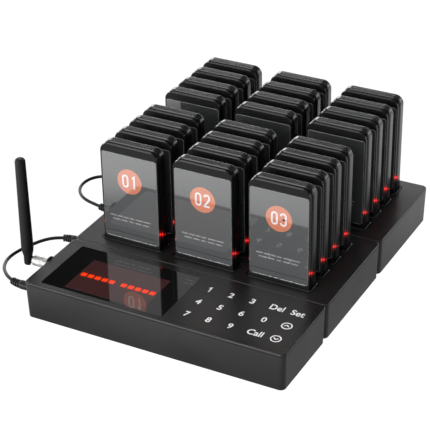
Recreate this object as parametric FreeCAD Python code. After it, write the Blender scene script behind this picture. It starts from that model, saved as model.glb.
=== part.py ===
"""Guest pager system: a host transmitter and two charging docks with 24 pagers.

All three low boxes stand butted together, front to back.  Millimetres, +Z up, +X to the
right, the host at the front (-Y).  Geometry is built in a bench frame whose corner lies
under the host's left front corner, and is moved to the part's own origin on export: the
bottom centre of the box around everything except the two link cables and their plugs.
"""
import FreeCAD, Part
import math
import os
from FreeCAD import Vector

# ---------------------------------------------------------------- housings
TOP_Z = 37.5            # top face above the counter
HOST_D = 86.0           # host, front to back
DOCK_D = 120.6          # one dock, front to back
UNIT_GAP = 0.3          # between neighbouring units
CORNER_R = 5.0          # upright corners of a unit
WALL_DRAFT = 0.85       # how far the walls lean in at their foot
WALL = 2.2              # side walls
FLOOR_T = 2.4           # bottom of a tub
PLATE_T = 2.1           # top plate of a cover
SEAM = 0.4              # open joint line between tub and cover
EDGE_R = 1.0            # rounding along the cover's top edge
SKIRT_T = 1.4           # cover's locating skirt inside the tub
SKIRT_H = 4.0
SKIRT_CLEAR = 0.15
FOOT_R = 5.0            # rubber feet
FOOT_OUT = 0.8          # how far a foot stands out of the floor
FOOT_SUNK = 0.8
FOOT_IN_X = 42.0        # foot centre from the side walls
FOOT_IN_Y = 12.0        # foot centre from the front and rear walls

# ---------------------------------------------------------------- case screws
BOSS_IN_X = 28.0        # boss centre from the side walls
BOSS_IN_Y = 7.4         # boss centre from the front and rear walls
BOSS_R = 3.5
BOSS_TOP_Z = 12.0       # joint between tub boss and cover post
SCREW_R = 1.5
SCREW_HEAD_R = 2.7
SCREW_HEAD_H = 2.0
SCREW_SHANK = 12.0
SCREW_BORE_CLEAR = 0.2
SCREW_FIT = 0.02
COUNTERBORE_H = 5.0

# ---------------------------------------------------------------- pagers
PAGER_W = 60.8
PAGER_T = 14.3
PAGER_H = 116.0
PAGER_TOP_R = 8.5       # rounded upper corners of the face
PAGER_FOOT_R = 3.0      # rounded lower corners of the face
FRONT_T = 2.4           # front shell, measured back from the face
RING_T = 1.0            # light ring between the shells
RING_SUNK = 0.9         # how far the ring lies below the outline
RING_W = 2.6
SHELL_WALL = 1.6
FRONT_EDGE_R = 0.7
REAR_EDGE_R = 1.2
FACE_SIDE = 1.5         # dark border left and right of the face plate
FACE_TOP = 8.4          # dark border above the face plate
FACE_FOOT = 19.3        # dark border below the face plate
FACE_CORNER_R = 2.6
FACE_T = 1.2
FACE_FIT = 0.1
BOARD_T = 1.2
BATTERY = (36.0, 4.2, 52.0)
MOTOR_R = 5.0
MOTOR_T = 3.0
PAD_W = 6.0             # charging pads in the pager's foot
PAD_D = 4.0
CONTACT_SPREAD = 10.0   # contact centres left and right of the pager's middle
RIM_TO_PLATE = 0.5      # largest share of a plate's thickness that its rounding takes
BOARD_BACK = 1.5        # pager board behind the light ring
BOARD_EDGE = 0.6        # pager board inside the shell
BOARD_TOP_IN = 6.0      # pager board below the rounded corners
BATTERY_RISE = 0.32     # battery's foot, as a share of the pager's height
MOTOR_IN = 3.0          # motor in from the board's lower corner
PAD_RISE = 1.5          # charging pads above the floor of the shell
COLUMNS = 3
ROWS = 4                # rows in one dock
SIDE_MARGIN = 23.9      # from a unit's side to the nearest pagers
COLUMN_GAP = 14.9       # between pagers side by side
ROW_PITCH = 25.7

# ---------------------------------------------------------------- slots
SEAT_Z = 22.2           # floor of a slot, where a pager stands
SLOT_CLEAR_X = 0.9
SLOT_CLEAR_Y = 0.8
POCKET_WALL = 1.6
SLOT_CORNER_R = 1.6
LIP_OUT = 1.7           # foot of the raised lip, out from the pager
LIP_TOP = 1.2           # top of the lip, out from the pager
LIP_H = 0.4
GROOVE_OUT = 2.9        # groove round the lip, out from the pager
GROOVE_DEPTH = 1.2
GROOVE_CORNER_R = 4.4
PIN_R = 1.0             # sprung charging pins
PIN_COLLAR_R = 1.6
PIN_COLLAR_H = 2.4
PIN_CLEAR = 0.3
PIN_GAP = 0.05

# ---------------------------------------------------------------- boards
BOARD = 1.6
DOCK_BOARD_Z = 14.0
DOCK_BOARD_IN = 4.6     # board edge from the outside of the side walls
STANDOFF_R = 3.0
MAIN_BOARD_Z = 16.9
MAIN_BOARD_X = (4.6, 104.0)
MAIN_STANDOFF_IN = 8.0  # standoff centres from the board's left and right edges
MAIN_STANDOFF_Y = (0.3, 0.7)    # and as shares of the host's depth
SHIELD_IN = 30.0        # radio can, from the board's left edge
SHIELD = (26.0, 22.0, 3.2)
PANEL_BOARD_Z = 26.0
PANEL_BOARD_IN = (22.0, 14.0)   # panel board from the left and right sides
HOST_BOARD_IN = 5.0
POST_CLEAR = 0.8

# ---------------------------------------------------------------- host panel
WINDOW_LEFT = 14.5      # window edges from the host's left side, front and rear
WINDOW_FRONT = 6.3
WINDOW_REAR = 9.0
WINDOW_R = 2.0
WINDOW_T = 1.6
WINDOW_LEDGE = 2.0
WINDOW_FIT = 0.1
FILTER_LEFT = 24.9      # from the window's left edge
FILTER_FRONT = 3.6      # from the window's front edge
FILTER_W = 79.6
FILTER_D = 49.7
FILTER_T = 0.8
DISPLAY_W = 37.6        # one five-digit display module
DISPLAY_D = 14.0
DISPLAY_IN = (17.0, 58.7)       # display centres from the filter's left edge
DISPLAY_BACK = 25.7     # and from its front edge
DISPLAY_CLEAR = 0.3
SHEET_W = 112.0
SHEET_RIGHT = 6.0       # sheet edges from the host's right side, front and rear
SHEET_FRONT = 5.0
SHEET_REAR = 6.0
SHEET_TO_WINDOW = 2.5
SHEET_R = 2.5
SHEET_T = 0.4
SHEET_FIT = 0.1
KEY_COLUMNS = 5
KEY_ROWS = 3
KEY_LEFT = 14.5         # first key column from the sheet's left edge
KEY_FRONT = 15.4        # front key row from the sheet's front edge
KEY_PITCH_X = 21.4
KEY_PITCH_Y = 21.55
TOUCH_R = 4.0
PEG_LEFT = 62.0         # left pegs from the host's left side
PEG_SHEET = 5.0         # middle pegs from the sheet's left edge
PEG_RIGHT = 34.0        # right pegs from the host's right side
PEG_IN_Y = 7.4
PEG_R = 2.4
PEG_SCREW_R = 1.0
PEG_SCREW_HEAD_R = 1.9
PEG_SCREW_HEAD_H = 1.3
PEG_SCREW_SHANK = 6.0

# ---------------------------------------------------------------- sockets and link cables
SOCKET_Z = 25.0
SOCKET_D = 13.5         # length behind the wall
SOCKET_W = 9.0
SOCKET_H = 11.0
SOCKET_BORE_R = 3.0
SOCKET_BORE_D = 10.5
SOCKET_PIN_R = 1.0
WALL_HOLE_R = 4.0
SOCKET_FACE_R = 3.8     # socket nose that fills the wall hole
SOCKET_GAP = 0.3        # between a wall and the socket behind it
SOCKET_NOSE_IN = 0.2    # nose below the wall's outside
SOCKET_PIN_IN = 1.5     # pin below the wall's outside
HOST_LINK_Y = 11.7      # from the host's front
HOST_INLET_REAR = 15.0  # from the host's rear
DOCK_LINK_Y = (14.7, 79.5)      # from a dock's front
PLUG_R = 4.2
PLUG_L = 12.5
PLUG_GAP = 0.1
PLUG_EDGE_R = 0.8
BARREL_R = 2.75
BARREL_L = 9.5
BARREL_BORE_R = 1.3
BOOT_R = 2.6            # core of the strain relief
BOOT_RIB_R = 3.5
BOOT_RIBS = 4
BOOT_L = 10.0
RIB_L = 1.4
RIB_STEP = 0.12         # how much smaller each further rib is
BEND_SHARE = 0.45       # share of a run that the bend at its end takes
CABLE_R = 1.6
FIRST_RUN = 8.0         # straight run out of each strain relief
BOOT_BEND_1 = 22.0      # degrees that the boots of cable 1 flex
BOOT_BEND_2 = 13.0
# Corners of each lead's route: share of the way from the first boot to the second, x and z.
ROUTE_1 = (
    (0.166, -41.5, 23.6),
    (0.315, -49.3, 21.6),
    (0.461, -52.8, 20.4),
    (0.613, -51.8, 20.2),
    (0.759, -46.2, 21.2),
    (0.870, -39.5, 23.2),
)
ROUTE_2 = (
    (0.105, -42.5, 24.4),
    (0.242, -53.5, 23.8),
    (0.429, -61.5, 23.4),
    (0.652, -64.8, 23.4),
    (0.866, -62.0, 23.8),
    (1.014, -52.5, 24.4),
    (1.069, -41.8, 24.8),
)

# ---------------------------------------------------------------- antenna
ANT_BACK = 1.5          # antenna behind the middle of the host
ANT_Z = 31.0
JACK_R = 3.1            # threaded barrel
JACK_OUT = 10.0
JACK_HEX_R = 4.8
JACK_HEX_T = 3.0
JACK_TAIL = 3.0         # solder end behind the hexagon
JACK_NOTCH = 1.0        # room in the cover's skirt round the hexagon
WASHER_R = 7.9
WASHER_T = 1.6
WASHER_EDGE_R = 0.64
NUT_R = 4.85
NUT_X = (-2.0, -18.3)
NUT_WALL_CLEAR = 0.1
NUT_GROOVES = 20
GROOVE_R = 0.3
GROOVE_SPAN = (0.3, 0.75)       # start and end of the knurling, as shares of the nut
FERRULE_R = 3.4
FERRULE_GAP = 0.3       # between jack and ferrule
PIVOT_X = -24.8
TONGUE_T = 3.0
TONGUE_R = 3.5
TONGUE_CLEAR = 0.25
TONGUE_SHARE = 0.85     # tongue's half height, as a share of the ferrule's radius
HINGE_PIN_R = 1.2
HINGE_CLEAR = 0.05
HINGE_PIN_IN = 0.6      # pin's ends below the knuckle's outside
FERRULE_OUT = 0.2       # ferrule past the end of the nut
KNUCKLE_R = 3.9
KNUCKLE_DOWN = 5.6
KNUCKLE_UP = 5.4
KNUCKLE_EDGE_R = 2.4
ROD_R = 5.8             # rod just above the knuckle
ROD_TIP_R = 4.9
ROD_TOP_Z = 136.0
ROD_EDGE_R = 2.0

# ---------------------------------------------------------------- sizes that follow
UNIT_W = 2 * SIDE_MARGIN + COLUMNS * PAGER_W + (COLUMNS - 1) * COLUMN_GAP
COLUMN_PITCH = PAGER_W + COLUMN_GAP
TUB_Z = FOOT_OUT
PLATE_Z = TOP_Z - PLATE_T
TUB_TOP_Z = PLATE_Z - SEAM
DOCK_Y = [HOST_D + UNIT_GAP, HOST_D + DOCK_D + 2 * UNIT_GAP]
TOTAL_D = DOCK_Y[1] + DOCK_D
COLUMN_X = [SIDE_MARGIN + i * COLUMN_PITCH for i in range(COLUMNS)]
ROW_Y = [(DOCK_D - PAGER_T) / 2 + (i - (ROWS - 1) / 2) * ROW_PITCH for i in range(ROWS)]
SHEET_X = (UNIT_W - SHEET_RIGHT - SHEET_W, UNIT_W - SHEET_RIGHT)
SHEET_Y = (SHEET_FRONT, HOST_D - SHEET_REAR)
WINDOW_X = (WINDOW_LEFT, SHEET_X[0] - SHEET_TO_WINDOW)
WINDOW_Y = (WINDOW_FRONT, HOST_D - WINDOW_REAR)
FILTER_X = WINDOW_LEFT + FILTER_LEFT
FILTER_Y = WINDOW_FRONT + FILTER_FRONT
KEY_X = SHEET_X[0] + KEY_LEFT
KEY_Y = SHEET_FRONT + KEY_FRONT
PEG_X = (PEG_LEFT, SHEET_X[0] + PEG_SHEET, UNIT_W - PEG_RIGHT)
PANEL_BOARD_X = (PANEL_BOARD_IN[0], UNIT_W - PANEL_BOARD_IN[1])
HOST_INLET_Y = HOST_D - HOST_INLET_REAR
ANT_Y = HOST_D / 2 + ANT_BACK
LEFT_X = PIVOT_X - ROD_R
JACK_END_X = WALL_DRAFT * (TOP_Z - ANT_Z) / (TOP_Z - TUB_Z) - JACK_OUT
ORIGIN = Vector((LEFT_X + UNIT_W) / 2, TOTAL_D / 2, 0)

UP = Vector(0, 0, 1)
REAR = Vector(0, 1, 0)
LEFT = Vector(-1, 0, 0)
RIGHT = Vector(1, 0, 0)


def box(x0, x1, y0, y1, z0, z1):
    """Axis-parallel block between two opposite corners."""
    return Part.makeBox(x1 - x0, y1 - y0, z1 - z0, Vector(x0, y0, z0))


def rod(radius, start, length, axis=UP):
    """Cylinder from a start point along an axis."""
    return Part.makeCylinder(radius, length, start, axis)


def corner_arc(centre, radius, start_deg, along, across):
    """Quarter arc in the plane of two unit vectors."""
    points = []
    for step in (0, 45, 90):
        turn = math.radians(start_deg + step)
        points.append(centre + along * (radius * math.cos(turn)) + across * (radius * math.sin(turn)))
    return Part.Arc(points[0], points[1], points[2])


def rounded_wire(origin, along, across, width, height, radii):
    """Closed outline; radii run counter-clockwise from the corner at the origin."""
    starts = (180, 270, 0, 90)
    corners = ((0, 0), (width, 0), (width, height), (0, height))
    inward = ((1, 1), (-1, 1), (-1, -1), (1, -1))
    arcs = []
    for corner, sign, radius, start in zip(corners, inward, radii, starts):
        u = corner[0] + sign[0] * radius
        v = corner[1] + sign[1] * radius
        centre = origin + along * u + across * v
        arcs.append(corner_arc(centre, radius, start, along, across))
    edges = []
    for index, arc in enumerate(arcs):
        edges.append(arc.toShape())
        following = arcs[(index + 1) % 4]
        edges.append(Part.LineSegment(arc.EndPoint, following.StartPoint).toShape())
    return Part.Wire(edges)


def plan_wire(x0, x1, y0, y1, z, radius):
    """Rounded rectangle lying level at height z."""
    return rounded_wire(Vector(x0, y0, z), Vector(1, 0, 0), REAR, x1 - x0, y1 - y0, [radius] * 4)


def plan_block(x0, x1, y0, y1, z0, z1, radius):
    """Upright block with rounded vertical corners."""
    face = Part.Face(plan_wire(x0, x1, y0, y1, z0, radius))
    return face.extrude(UP * (z1 - z0))


def drafted_block(x0, x1, y0, y1, z0, z1, radius, inset):
    """Block whose four walls lean in by inset at the bottom."""
    low = plan_wire(x0 + inset, x1 - inset, y0 + inset, y1 - inset, z0, radius)
    high = plan_wire(x0, x1, y0, y1, z1, radius)
    return Part.makeLoft([low, high], True, True)


def wall_inset(z):
    """How far the drafted side wall has leaned in at a height."""
    return WALL_DRAFT * (TOP_Z - z) / (TOP_Z - TUB_Z)


def fillet_level_edges(shape, z, radius):
    """Round every edge that lies level at height z."""
    edges = []
    for edge in shape.Edges:
        ends = [vertex.Z for vertex in edge.Vertexes]
        if max(abs(end - z) for end in ends) < 0.001:
            edges.append(edge)
    return shape.makeFillet(radius, edges)


def joined(shapes):
    """One clean solid out of overlapping ones."""
    whole = shapes[0]
    if len(shapes) > 1:
        whole = whole.fuse(shapes[1:])
    return whole.removeSplitter()


def unit_spots(depth, in_x, in_y):
    """Four places mirrored about a unit's middle."""
    return [(x, y) for x in (in_x, UNIT_W - in_x) for y in (in_y, depth - in_y)]


# ---------------------------------------------------------------- units
def tub(y0, depth, wall_holes, standoffs, standoff_top):
    """Lower housing: drafted outer walls, screw bosses, foot recesses, plug holes."""
    y1 = y0 + depth
    top_inset = wall_inset(TUB_TOP_Z)
    outer = drafted_block(top_inset, UNIT_W - top_inset, y0 + top_inset, y1 - top_inset,
                          TUB_Z, TUB_TOP_Z, CORNER_R, WALL_DRAFT - top_inset)
    inside = top_inset + WALL
    cavity = drafted_block(inside, UNIT_W - inside, y0 + inside, y1 - inside,
                           TUB_Z + FLOOR_T, TUB_TOP_Z, CORNER_R - WALL, WALL_DRAFT - top_inset)
    shell = outer.cut(cavity)
    floor_z = TUB_Z + FLOOR_T
    bosses = []
    bores = []
    for x, y in unit_spots(depth, BOSS_IN_X, BOSS_IN_Y):
        bosses.append(rod(BOSS_R, Vector(x, y0 + y, TUB_Z), BOSS_TOP_Z - TUB_Z))
        bores.append(rod(SCREW_HEAD_R + SCREW_BORE_CLEAR, Vector(x, y0 + y, TUB_Z), COUNTERBORE_H))
        bores.append(rod(SCREW_R + SCREW_BORE_CLEAR, Vector(x, y0 + y, TUB_Z), BOSS_TOP_Z))
    for x, y in standoffs:
        bosses.append(rod(STANDOFF_R, Vector(x, y0 + y, floor_z - 1), standoff_top - floor_z + 1))
    for x, y in unit_spots(depth, FOOT_IN_X, FOOT_IN_Y):
        bores.append(rod(FOOT_R + SKIRT_CLEAR, Vector(x, y0 + y, TUB_Z), FOOT_SUNK))
    for y, z, radius in wall_holes:
        bores.append(rod(radius, Vector(-1, y0 + y, z), WALL + 3, RIGHT))
    return joined([shell] + bosses).cut(Part.makeCompound(bores))


def blank_cover(y0, depth):
    """Top plate with a rounded edge, a skirt inside the tub and four screw posts."""
    y1 = y0 + depth
    plate = drafted_block(0, UNIT_W, y0, y1, PLATE_Z, TOP_Z, CORNER_R, wall_inset(PLATE_Z))
    plate = fillet_level_edges(plate, TOP_Z, min(EDGE_R, PLATE_T * RIM_TO_PLATE))
    outside = wall_inset(TUB_TOP_Z) + WALL + WALL_DRAFT + SKIRT_CLEAR
    inside = outside + SKIRT_T
    skirt_z = PLATE_Z - SKIRT_H
    ring = plan_block(outside, UNIT_W - outside, y0 + outside, y1 - outside, skirt_z, PLATE_Z + 1,
                      CORNER_R - WALL)
    ring = ring.cut(plan_block(inside, UNIT_W - inside, y0 + inside, y1 - inside, skirt_z - 1,
                               PLATE_Z + 2, CORNER_R - WALL))
    posts = []
    for x, y in unit_spots(depth, BOSS_IN_X, BOSS_IN_Y):
        posts.append(rod(BOSS_R, Vector(x, y0 + y, BOSS_TOP_Z), PLATE_Z + 1 - BOSS_TOP_Z))
    return joined([plate, ring] + posts).cut(Part.makeCompound(pilot_holes(y0, depth)))


def pilot_holes(y0, depth):
    """Holes that the case screws cut their thread in."""
    tip = TUB_Z + COUNTERBORE_H + SCREW_SHANK
    length = tip + 1 - BOSS_TOP_Z
    holes = []
    for x, y in unit_spots(depth, BOSS_IN_X, BOSS_IN_Y):
        holes.append(rod(SCREW_R + SCREW_FIT, Vector(x, y0 + y, BOSS_TOP_Z), length))
    return holes


def case_screws(y0, depth):
    """Four screws that come up through the tub's bosses."""
    seat = TUB_Z + COUNTERBORE_H
    screws = []
    for x, y in unit_spots(depth, BOSS_IN_X, BOSS_IN_Y):
        head = rod(SCREW_HEAD_R, Vector(x, y0 + y, seat - SCREW_HEAD_H), SCREW_HEAD_H)
        shank = rod(SCREW_R, Vector(x, y0 + y, seat - SCREW_HEAD_H / 2), SCREW_SHANK + SCREW_HEAD_H / 2)
        screws.append(joined([head, shank]))
    return screws


def feet(y0, depth):
    """Four rubber discs set in the floor."""
    return [rod(FOOT_R, Vector(x, y0 + y, 0), FOOT_OUT + FOOT_SUNK)
            for x, y in unit_spots(depth, FOOT_IN_X, FOOT_IN_Y)]


def socket(y, board_top):
    """Barrel socket on a board, its nose filling the round hole in the left wall."""
    face = wall_inset(SOCKET_Z)
    back = face + WALL + SOCKET_GAP
    body = box(back, back + SOCKET_D, y - SOCKET_W / 2, y + SOCKET_W / 2, board_top,
               SOCKET_Z + SOCKET_H / 2)
    nose = rod(SOCKET_FACE_R, Vector(back + 1, y, SOCKET_Z), back + 1 - face - SOCKET_NOSE_IN, LEFT)
    bore = rod(SOCKET_BORE_R, Vector(face - 1, y, SOCKET_Z), SOCKET_BORE_D + 1, RIGHT)
    pin = rod(SOCKET_PIN_R, Vector(face + SOCKET_PIN_IN, y, SOCKET_Z), SOCKET_BORE_D, RIGHT)
    return joined([joined([body, nose]).cut(bore), pin])


# ---------------------------------------------------------------- docks
def slot_spots():
    """Front left corner of each pager, measured in its dock."""
    return [(x, y) for y in ROW_Y for x in COLUMN_X]


def contact_spots():
    """Where the charging pins of a dock stand."""
    spots = []
    for x, y in slot_spots():
        for side in (-1, 1):
            spots.append((x + PAGER_W / 2 + side * CONTACT_SPREAD, y + PAGER_T / 2))
    return spots


def around_pager(x, y, out_x, out_y):
    """Plan limits of a pager grown on every side."""
    return x - out_x, x + PAGER_W + out_x, y - out_y, y + PAGER_T + out_y


def rim_wire(x, y, out, z):
    """Outline round one slot, some way out from the pager, all on the groove's corner centres."""
    return plan_wire(*around_pager(x, y, out, out), z, GROOVE_CORNER_R - GROOVE_OUT + out)


def slot_lip(x, y):
    """Low sloping lip that stands round one slot."""
    skirt = Part.Face(rim_wire(x, y, LIP_OUT, TOP_Z)).extrude(UP * -GROOVE_DEPTH)
    top = Part.makeLoft([rim_wire(x, y, LIP_OUT, TOP_Z), rim_wire(x, y, LIP_TOP, TOP_Z + LIP_H)], True, True)
    return joined([skirt, top])


def slot_groove(x, y):
    """Groove between the lip and the top plate."""
    up = UP * (GROOVE_DEPTH + LIP_H + 1)
    outer = Part.Face(rim_wire(x, y, GROOVE_OUT, TOP_Z - GROOVE_DEPTH)).extrude(up)
    return outer.cut(Part.Face(rim_wire(x, y, LIP_OUT, TOP_Z - GROOVE_DEPTH)).extrude(up))


def dock_cover(y0):
    """Dock top with twelve closed pockets that the pagers stand in."""
    cover = blank_cover(y0, DOCK_D)
    added = []
    removed = []
    for x, row_y in slot_spots():
        y = y0 + row_y
        outer = around_pager(x, y, SLOT_CLEAR_X + POCKET_WALL, SLOT_CLEAR_Y + POCKET_WALL)
        inner = around_pager(x, y, SLOT_CLEAR_X, SLOT_CLEAR_Y)
        added.append(plan_block(*outer, SEAT_Z - POCKET_WALL, TOP_Z - PLATE_T / 2,
                                SLOT_CORNER_R + POCKET_WALL))
        added.append(slot_lip(x, y))
        removed.append(slot_groove(x, y))
        removed.append(plan_block(*inner, SEAT_Z, TOP_Z + LIP_H + 1, SLOT_CORNER_R))
    for x, y in contact_spots():
        removed.append(rod(PIN_R + PIN_CLEAR, Vector(x, y0 + y, SEAT_Z - POCKET_WALL - 1), POCKET_WALL + 2))
    return joined([cover] + added).cut(Part.makeCompound(removed)).removeSplitter()


def dock_standoffs():
    """Standoffs under the dock board, between the rows of pockets."""
    gap_y = (ROW_Y[1] + ROW_Y[2] + PAGER_T) / 2
    return [(UNIT_W / 2 + side * COLUMN_PITCH, gap_y) for side in (-1, 1)] + [
        (UNIT_W / 2 + side * COLUMN_PITCH, y) for side in (-1, 1) for y in (ROW_Y[0], ROW_Y[-1] + PAGER_T)]


def dock_board(y0):
    """Charging board under the pockets."""
    inset = DOCK_BOARD_IN
    plate = box(inset, UNIT_W - inset, y0 + inset, y0 + DOCK_D - inset, DOCK_BOARD_Z, DOCK_BOARD_Z + BOARD)
    return plate.cut(Part.makeCompound(post_clearances(y0, DOCK_D)))


def post_clearances(y0, depth):
    """Round holes that let the screw posts pass a board."""
    return [rod(BOSS_R + POST_CLEAR, Vector(x, y0 + y, 0), TOP_Z)
            for x, y in unit_spots(depth, BOSS_IN_X, BOSS_IN_Y)]


def dock_pins(y0):
    """Sprung charging pins, two for each slot."""
    base = DOCK_BOARD_Z + BOARD
    pins = []
    for x, y in contact_spots():
        foot = rod(PIN_COLLAR_R, Vector(x, y0 + y, base), PIN_COLLAR_H)
        tip = rod(PIN_R, Vector(x, y0 + y, base), SEAT_Z - PIN_GAP - base)
        pins.append(joined([foot, tip]))
    return pins


# ---------------------------------------------------------------- host
def key_spots():
    """Centres of the touch keys."""
    return [(KEY_X + i * KEY_PITCH_X, KEY_Y + j * KEY_PITCH_Y)
            for j in range(KEY_ROWS) for i in range(KEY_COLUMNS)]


def peg_spots():
    """Pegs under the host cover that carry the panel board."""
    return [(x, y) for x in PEG_X for y in (PEG_IN_Y, HOST_D - PEG_IN_Y)]


def window_block(z0, z1, grow):
    """Display window outline, grown or shrunk evenly."""
    return plan_block(WINDOW_X[0] - grow, WINDOW_X[1] + grow, WINDOW_Y[0] - grow, WINDOW_Y[1] + grow,
                      z0, z1, max(WINDOW_R + grow, 0.5))


def host_cover():
    """Host top with a window recess, a keypad recess and pegs for the panel board."""
    peg_foot = PANEL_BOARD_Z + BOARD
    pegs = [rod(PEG_R, Vector(x, y, peg_foot), PLATE_Z + 1 - peg_foot) for x, y in peg_spots()]
    cover = joined([blank_cover(0, HOST_D)] + pegs)
    removed = [window_block(TOP_Z - WINDOW_T, TOP_Z + 1, WINDOW_FIT)]
    removed.append(window_block(PLATE_Z - 1, TOP_Z, -WINDOW_LEDGE))
    removed.append(plan_block(SHEET_X[0] - SHEET_FIT, SHEET_X[1] + SHEET_FIT, SHEET_Y[0] - SHEET_FIT,
                              SHEET_Y[1] + SHEET_FIT, TOP_Z - SHEET_T, TOP_Z + 1, SHEET_R + SHEET_FIT))
    for x, y in peg_spots():
        removed.append(rod(PEG_SCREW_R + SCREW_FIT, Vector(x, y, peg_foot), PEG_SCREW_SHANK - BOARD + 0.5))
    notch = JACK_HEX_R + JACK_NOTCH
    removed.append(box(0, 3 * WALL + SKIRT_T, ANT_Y - notch, ANT_Y + notch, TUB_Z, PLATE_Z))
    return cover.cut(Part.makeCompound(removed))


def display_window():
    """Dark acrylic window, flush in the cover."""
    return window_block(TOP_Z - WINDOW_T, TOP_Z, 0)


def red_filter():
    """Red sheet bonded under the window."""
    top = TOP_Z - WINDOW_T
    return box(FILTER_X, FILTER_X + FILTER_W, FILTER_Y, FILTER_Y + FILTER_D, top - FILTER_T, top)


def display_modules():
    """Two five-digit display modules side by side."""
    base = PANEL_BOARD_Z + BOARD
    top = TOP_Z - WINDOW_T - FILTER_T - DISPLAY_CLEAR
    front = FILTER_Y + DISPLAY_BACK - DISPLAY_D / 2
    return [box(FILTER_X + x - DISPLAY_W / 2, FILTER_X + x + DISPLAY_W / 2, front, front + DISPLAY_D,
                base, top) for x in DISPLAY_IN]


def keypad_overlay():
    """Printed sheet over the touch keys."""
    return plan_block(SHEET_X[0], SHEET_X[1], SHEET_Y[0], SHEET_Y[1], TOP_Z - SHEET_T, TOP_Z, SHEET_R)


def touch_springs():
    """One contact spring under each touch key."""
    base = PANEL_BOARD_Z + BOARD
    return [rod(TOUCH_R, Vector(x, y, base), PLATE_Z - base).cut(
        rod(TOUCH_R - 1, Vector(x, y, base - 1), PLATE_Z - base + 2)) for x, y in key_spots()]


def panel_board():
    """Board that carries the displays and the touch springs."""
    plate = box(PANEL_BOARD_X[0], PANEL_BOARD_X[1], HOST_BOARD_IN, HOST_D - HOST_BOARD_IN,
                PANEL_BOARD_Z, PANEL_BOARD_Z + BOARD)
    holes = post_clearances(0, HOST_D)
    for x, y in peg_spots():
        holes.append(rod(PEG_SCREW_R + SCREW_BORE_CLEAR, Vector(x, y, 0), TOP_Z))
    return plate.cut(Part.makeCompound(holes))


def panel_screws():
    """Small screws that hold the panel board up against its pegs."""
    screws = []
    for x, y in peg_spots():
        head = rod(PEG_SCREW_HEAD_R, Vector(x, y, PANEL_BOARD_Z - PEG_SCREW_HEAD_H), PEG_SCREW_HEAD_H)
        shank = rod(PEG_SCREW_R, Vector(x, y, PANEL_BOARD_Z - PEG_SCREW_HEAD_H / 2),
                    PEG_SCREW_SHANK + PEG_SCREW_HEAD_H / 2)
        screws.append(joined([head, shank]))
    return screws


def host_standoffs():
    """Standoffs under the main board."""
    return [(x, HOST_D * share) for x in (MAIN_BOARD_X[0] + MAIN_STANDOFF_IN,
                                          MAIN_BOARD_X[1] - MAIN_STANDOFF_IN)
            for share in MAIN_STANDOFF_Y]


def main_board():
    """Transmitter board with the power and link sockets at its left edge."""
    plate = box(MAIN_BOARD_X[0], MAIN_BOARD_X[1], HOST_BOARD_IN, HOST_D - HOST_BOARD_IN,
                MAIN_BOARD_Z, MAIN_BOARD_Z + BOARD)
    can_x = MAIN_BOARD_X[0] + SHIELD_IN
    shield = box(can_x, can_x + SHIELD[0], (HOST_D - SHIELD[1]) / 2, (HOST_D + SHIELD[1]) / 2,
                 MAIN_BOARD_Z + BOARD, MAIN_BOARD_Z + BOARD + SHIELD[2])
    plate = plate.cut(Part.makeCompound(post_clearances(0, HOST_D)))
    return joined([plate, shield])


# ---------------------------------------------------------------- pager
def face_wire(x, y, z, grow):
    """Outline of a pager seen from the front, grown or shrunk evenly."""
    low = max(PAGER_FOOT_R + grow, 0.5)
    high = max(PAGER_TOP_R + grow, 0.5)
    return rounded_wire(Vector(x - grow, y, z - grow), Vector(1, 0, 0), UP, PAGER_W + 2 * grow,
                        PAGER_H + 2 * grow, [low, low, high, high])


def face_block(x, y0, y1, z, grow):
    """Pager outline pushed back from y0 to y1."""
    return Part.Face(face_wire(x, y0, z, grow)).extrude(REAR * (y1 - y0))


def fillet_rim(shape, y, radius):
    """Round the edges that lie in one upright plane."""
    edges = []
    for edge in shape.Edges:
        ends = [vertex.Y for vertex in edge.Vertexes]
        if max(abs(end - y) for end in ends) < 0.001:
            edges.append(edge)
    return shape.makeFillet(radius, edges)


def plate_block(x, y0, y1, z, grow):
    """Outline of the face plate in the front shell."""
    width = PAGER_W - 2 * FACE_SIDE + 2 * grow
    height = PAGER_H - FACE_TOP - FACE_FOOT + 2 * grow
    start = Vector(x + FACE_SIDE - grow, y0, z + FACE_FOOT - grow)
    wire = rounded_wire(start, Vector(1, 0, 0), UP, width, height, [FACE_CORNER_R + grow] * 4)
    return Part.Face(wire).extrude(REAR * (y1 - y0))


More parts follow.
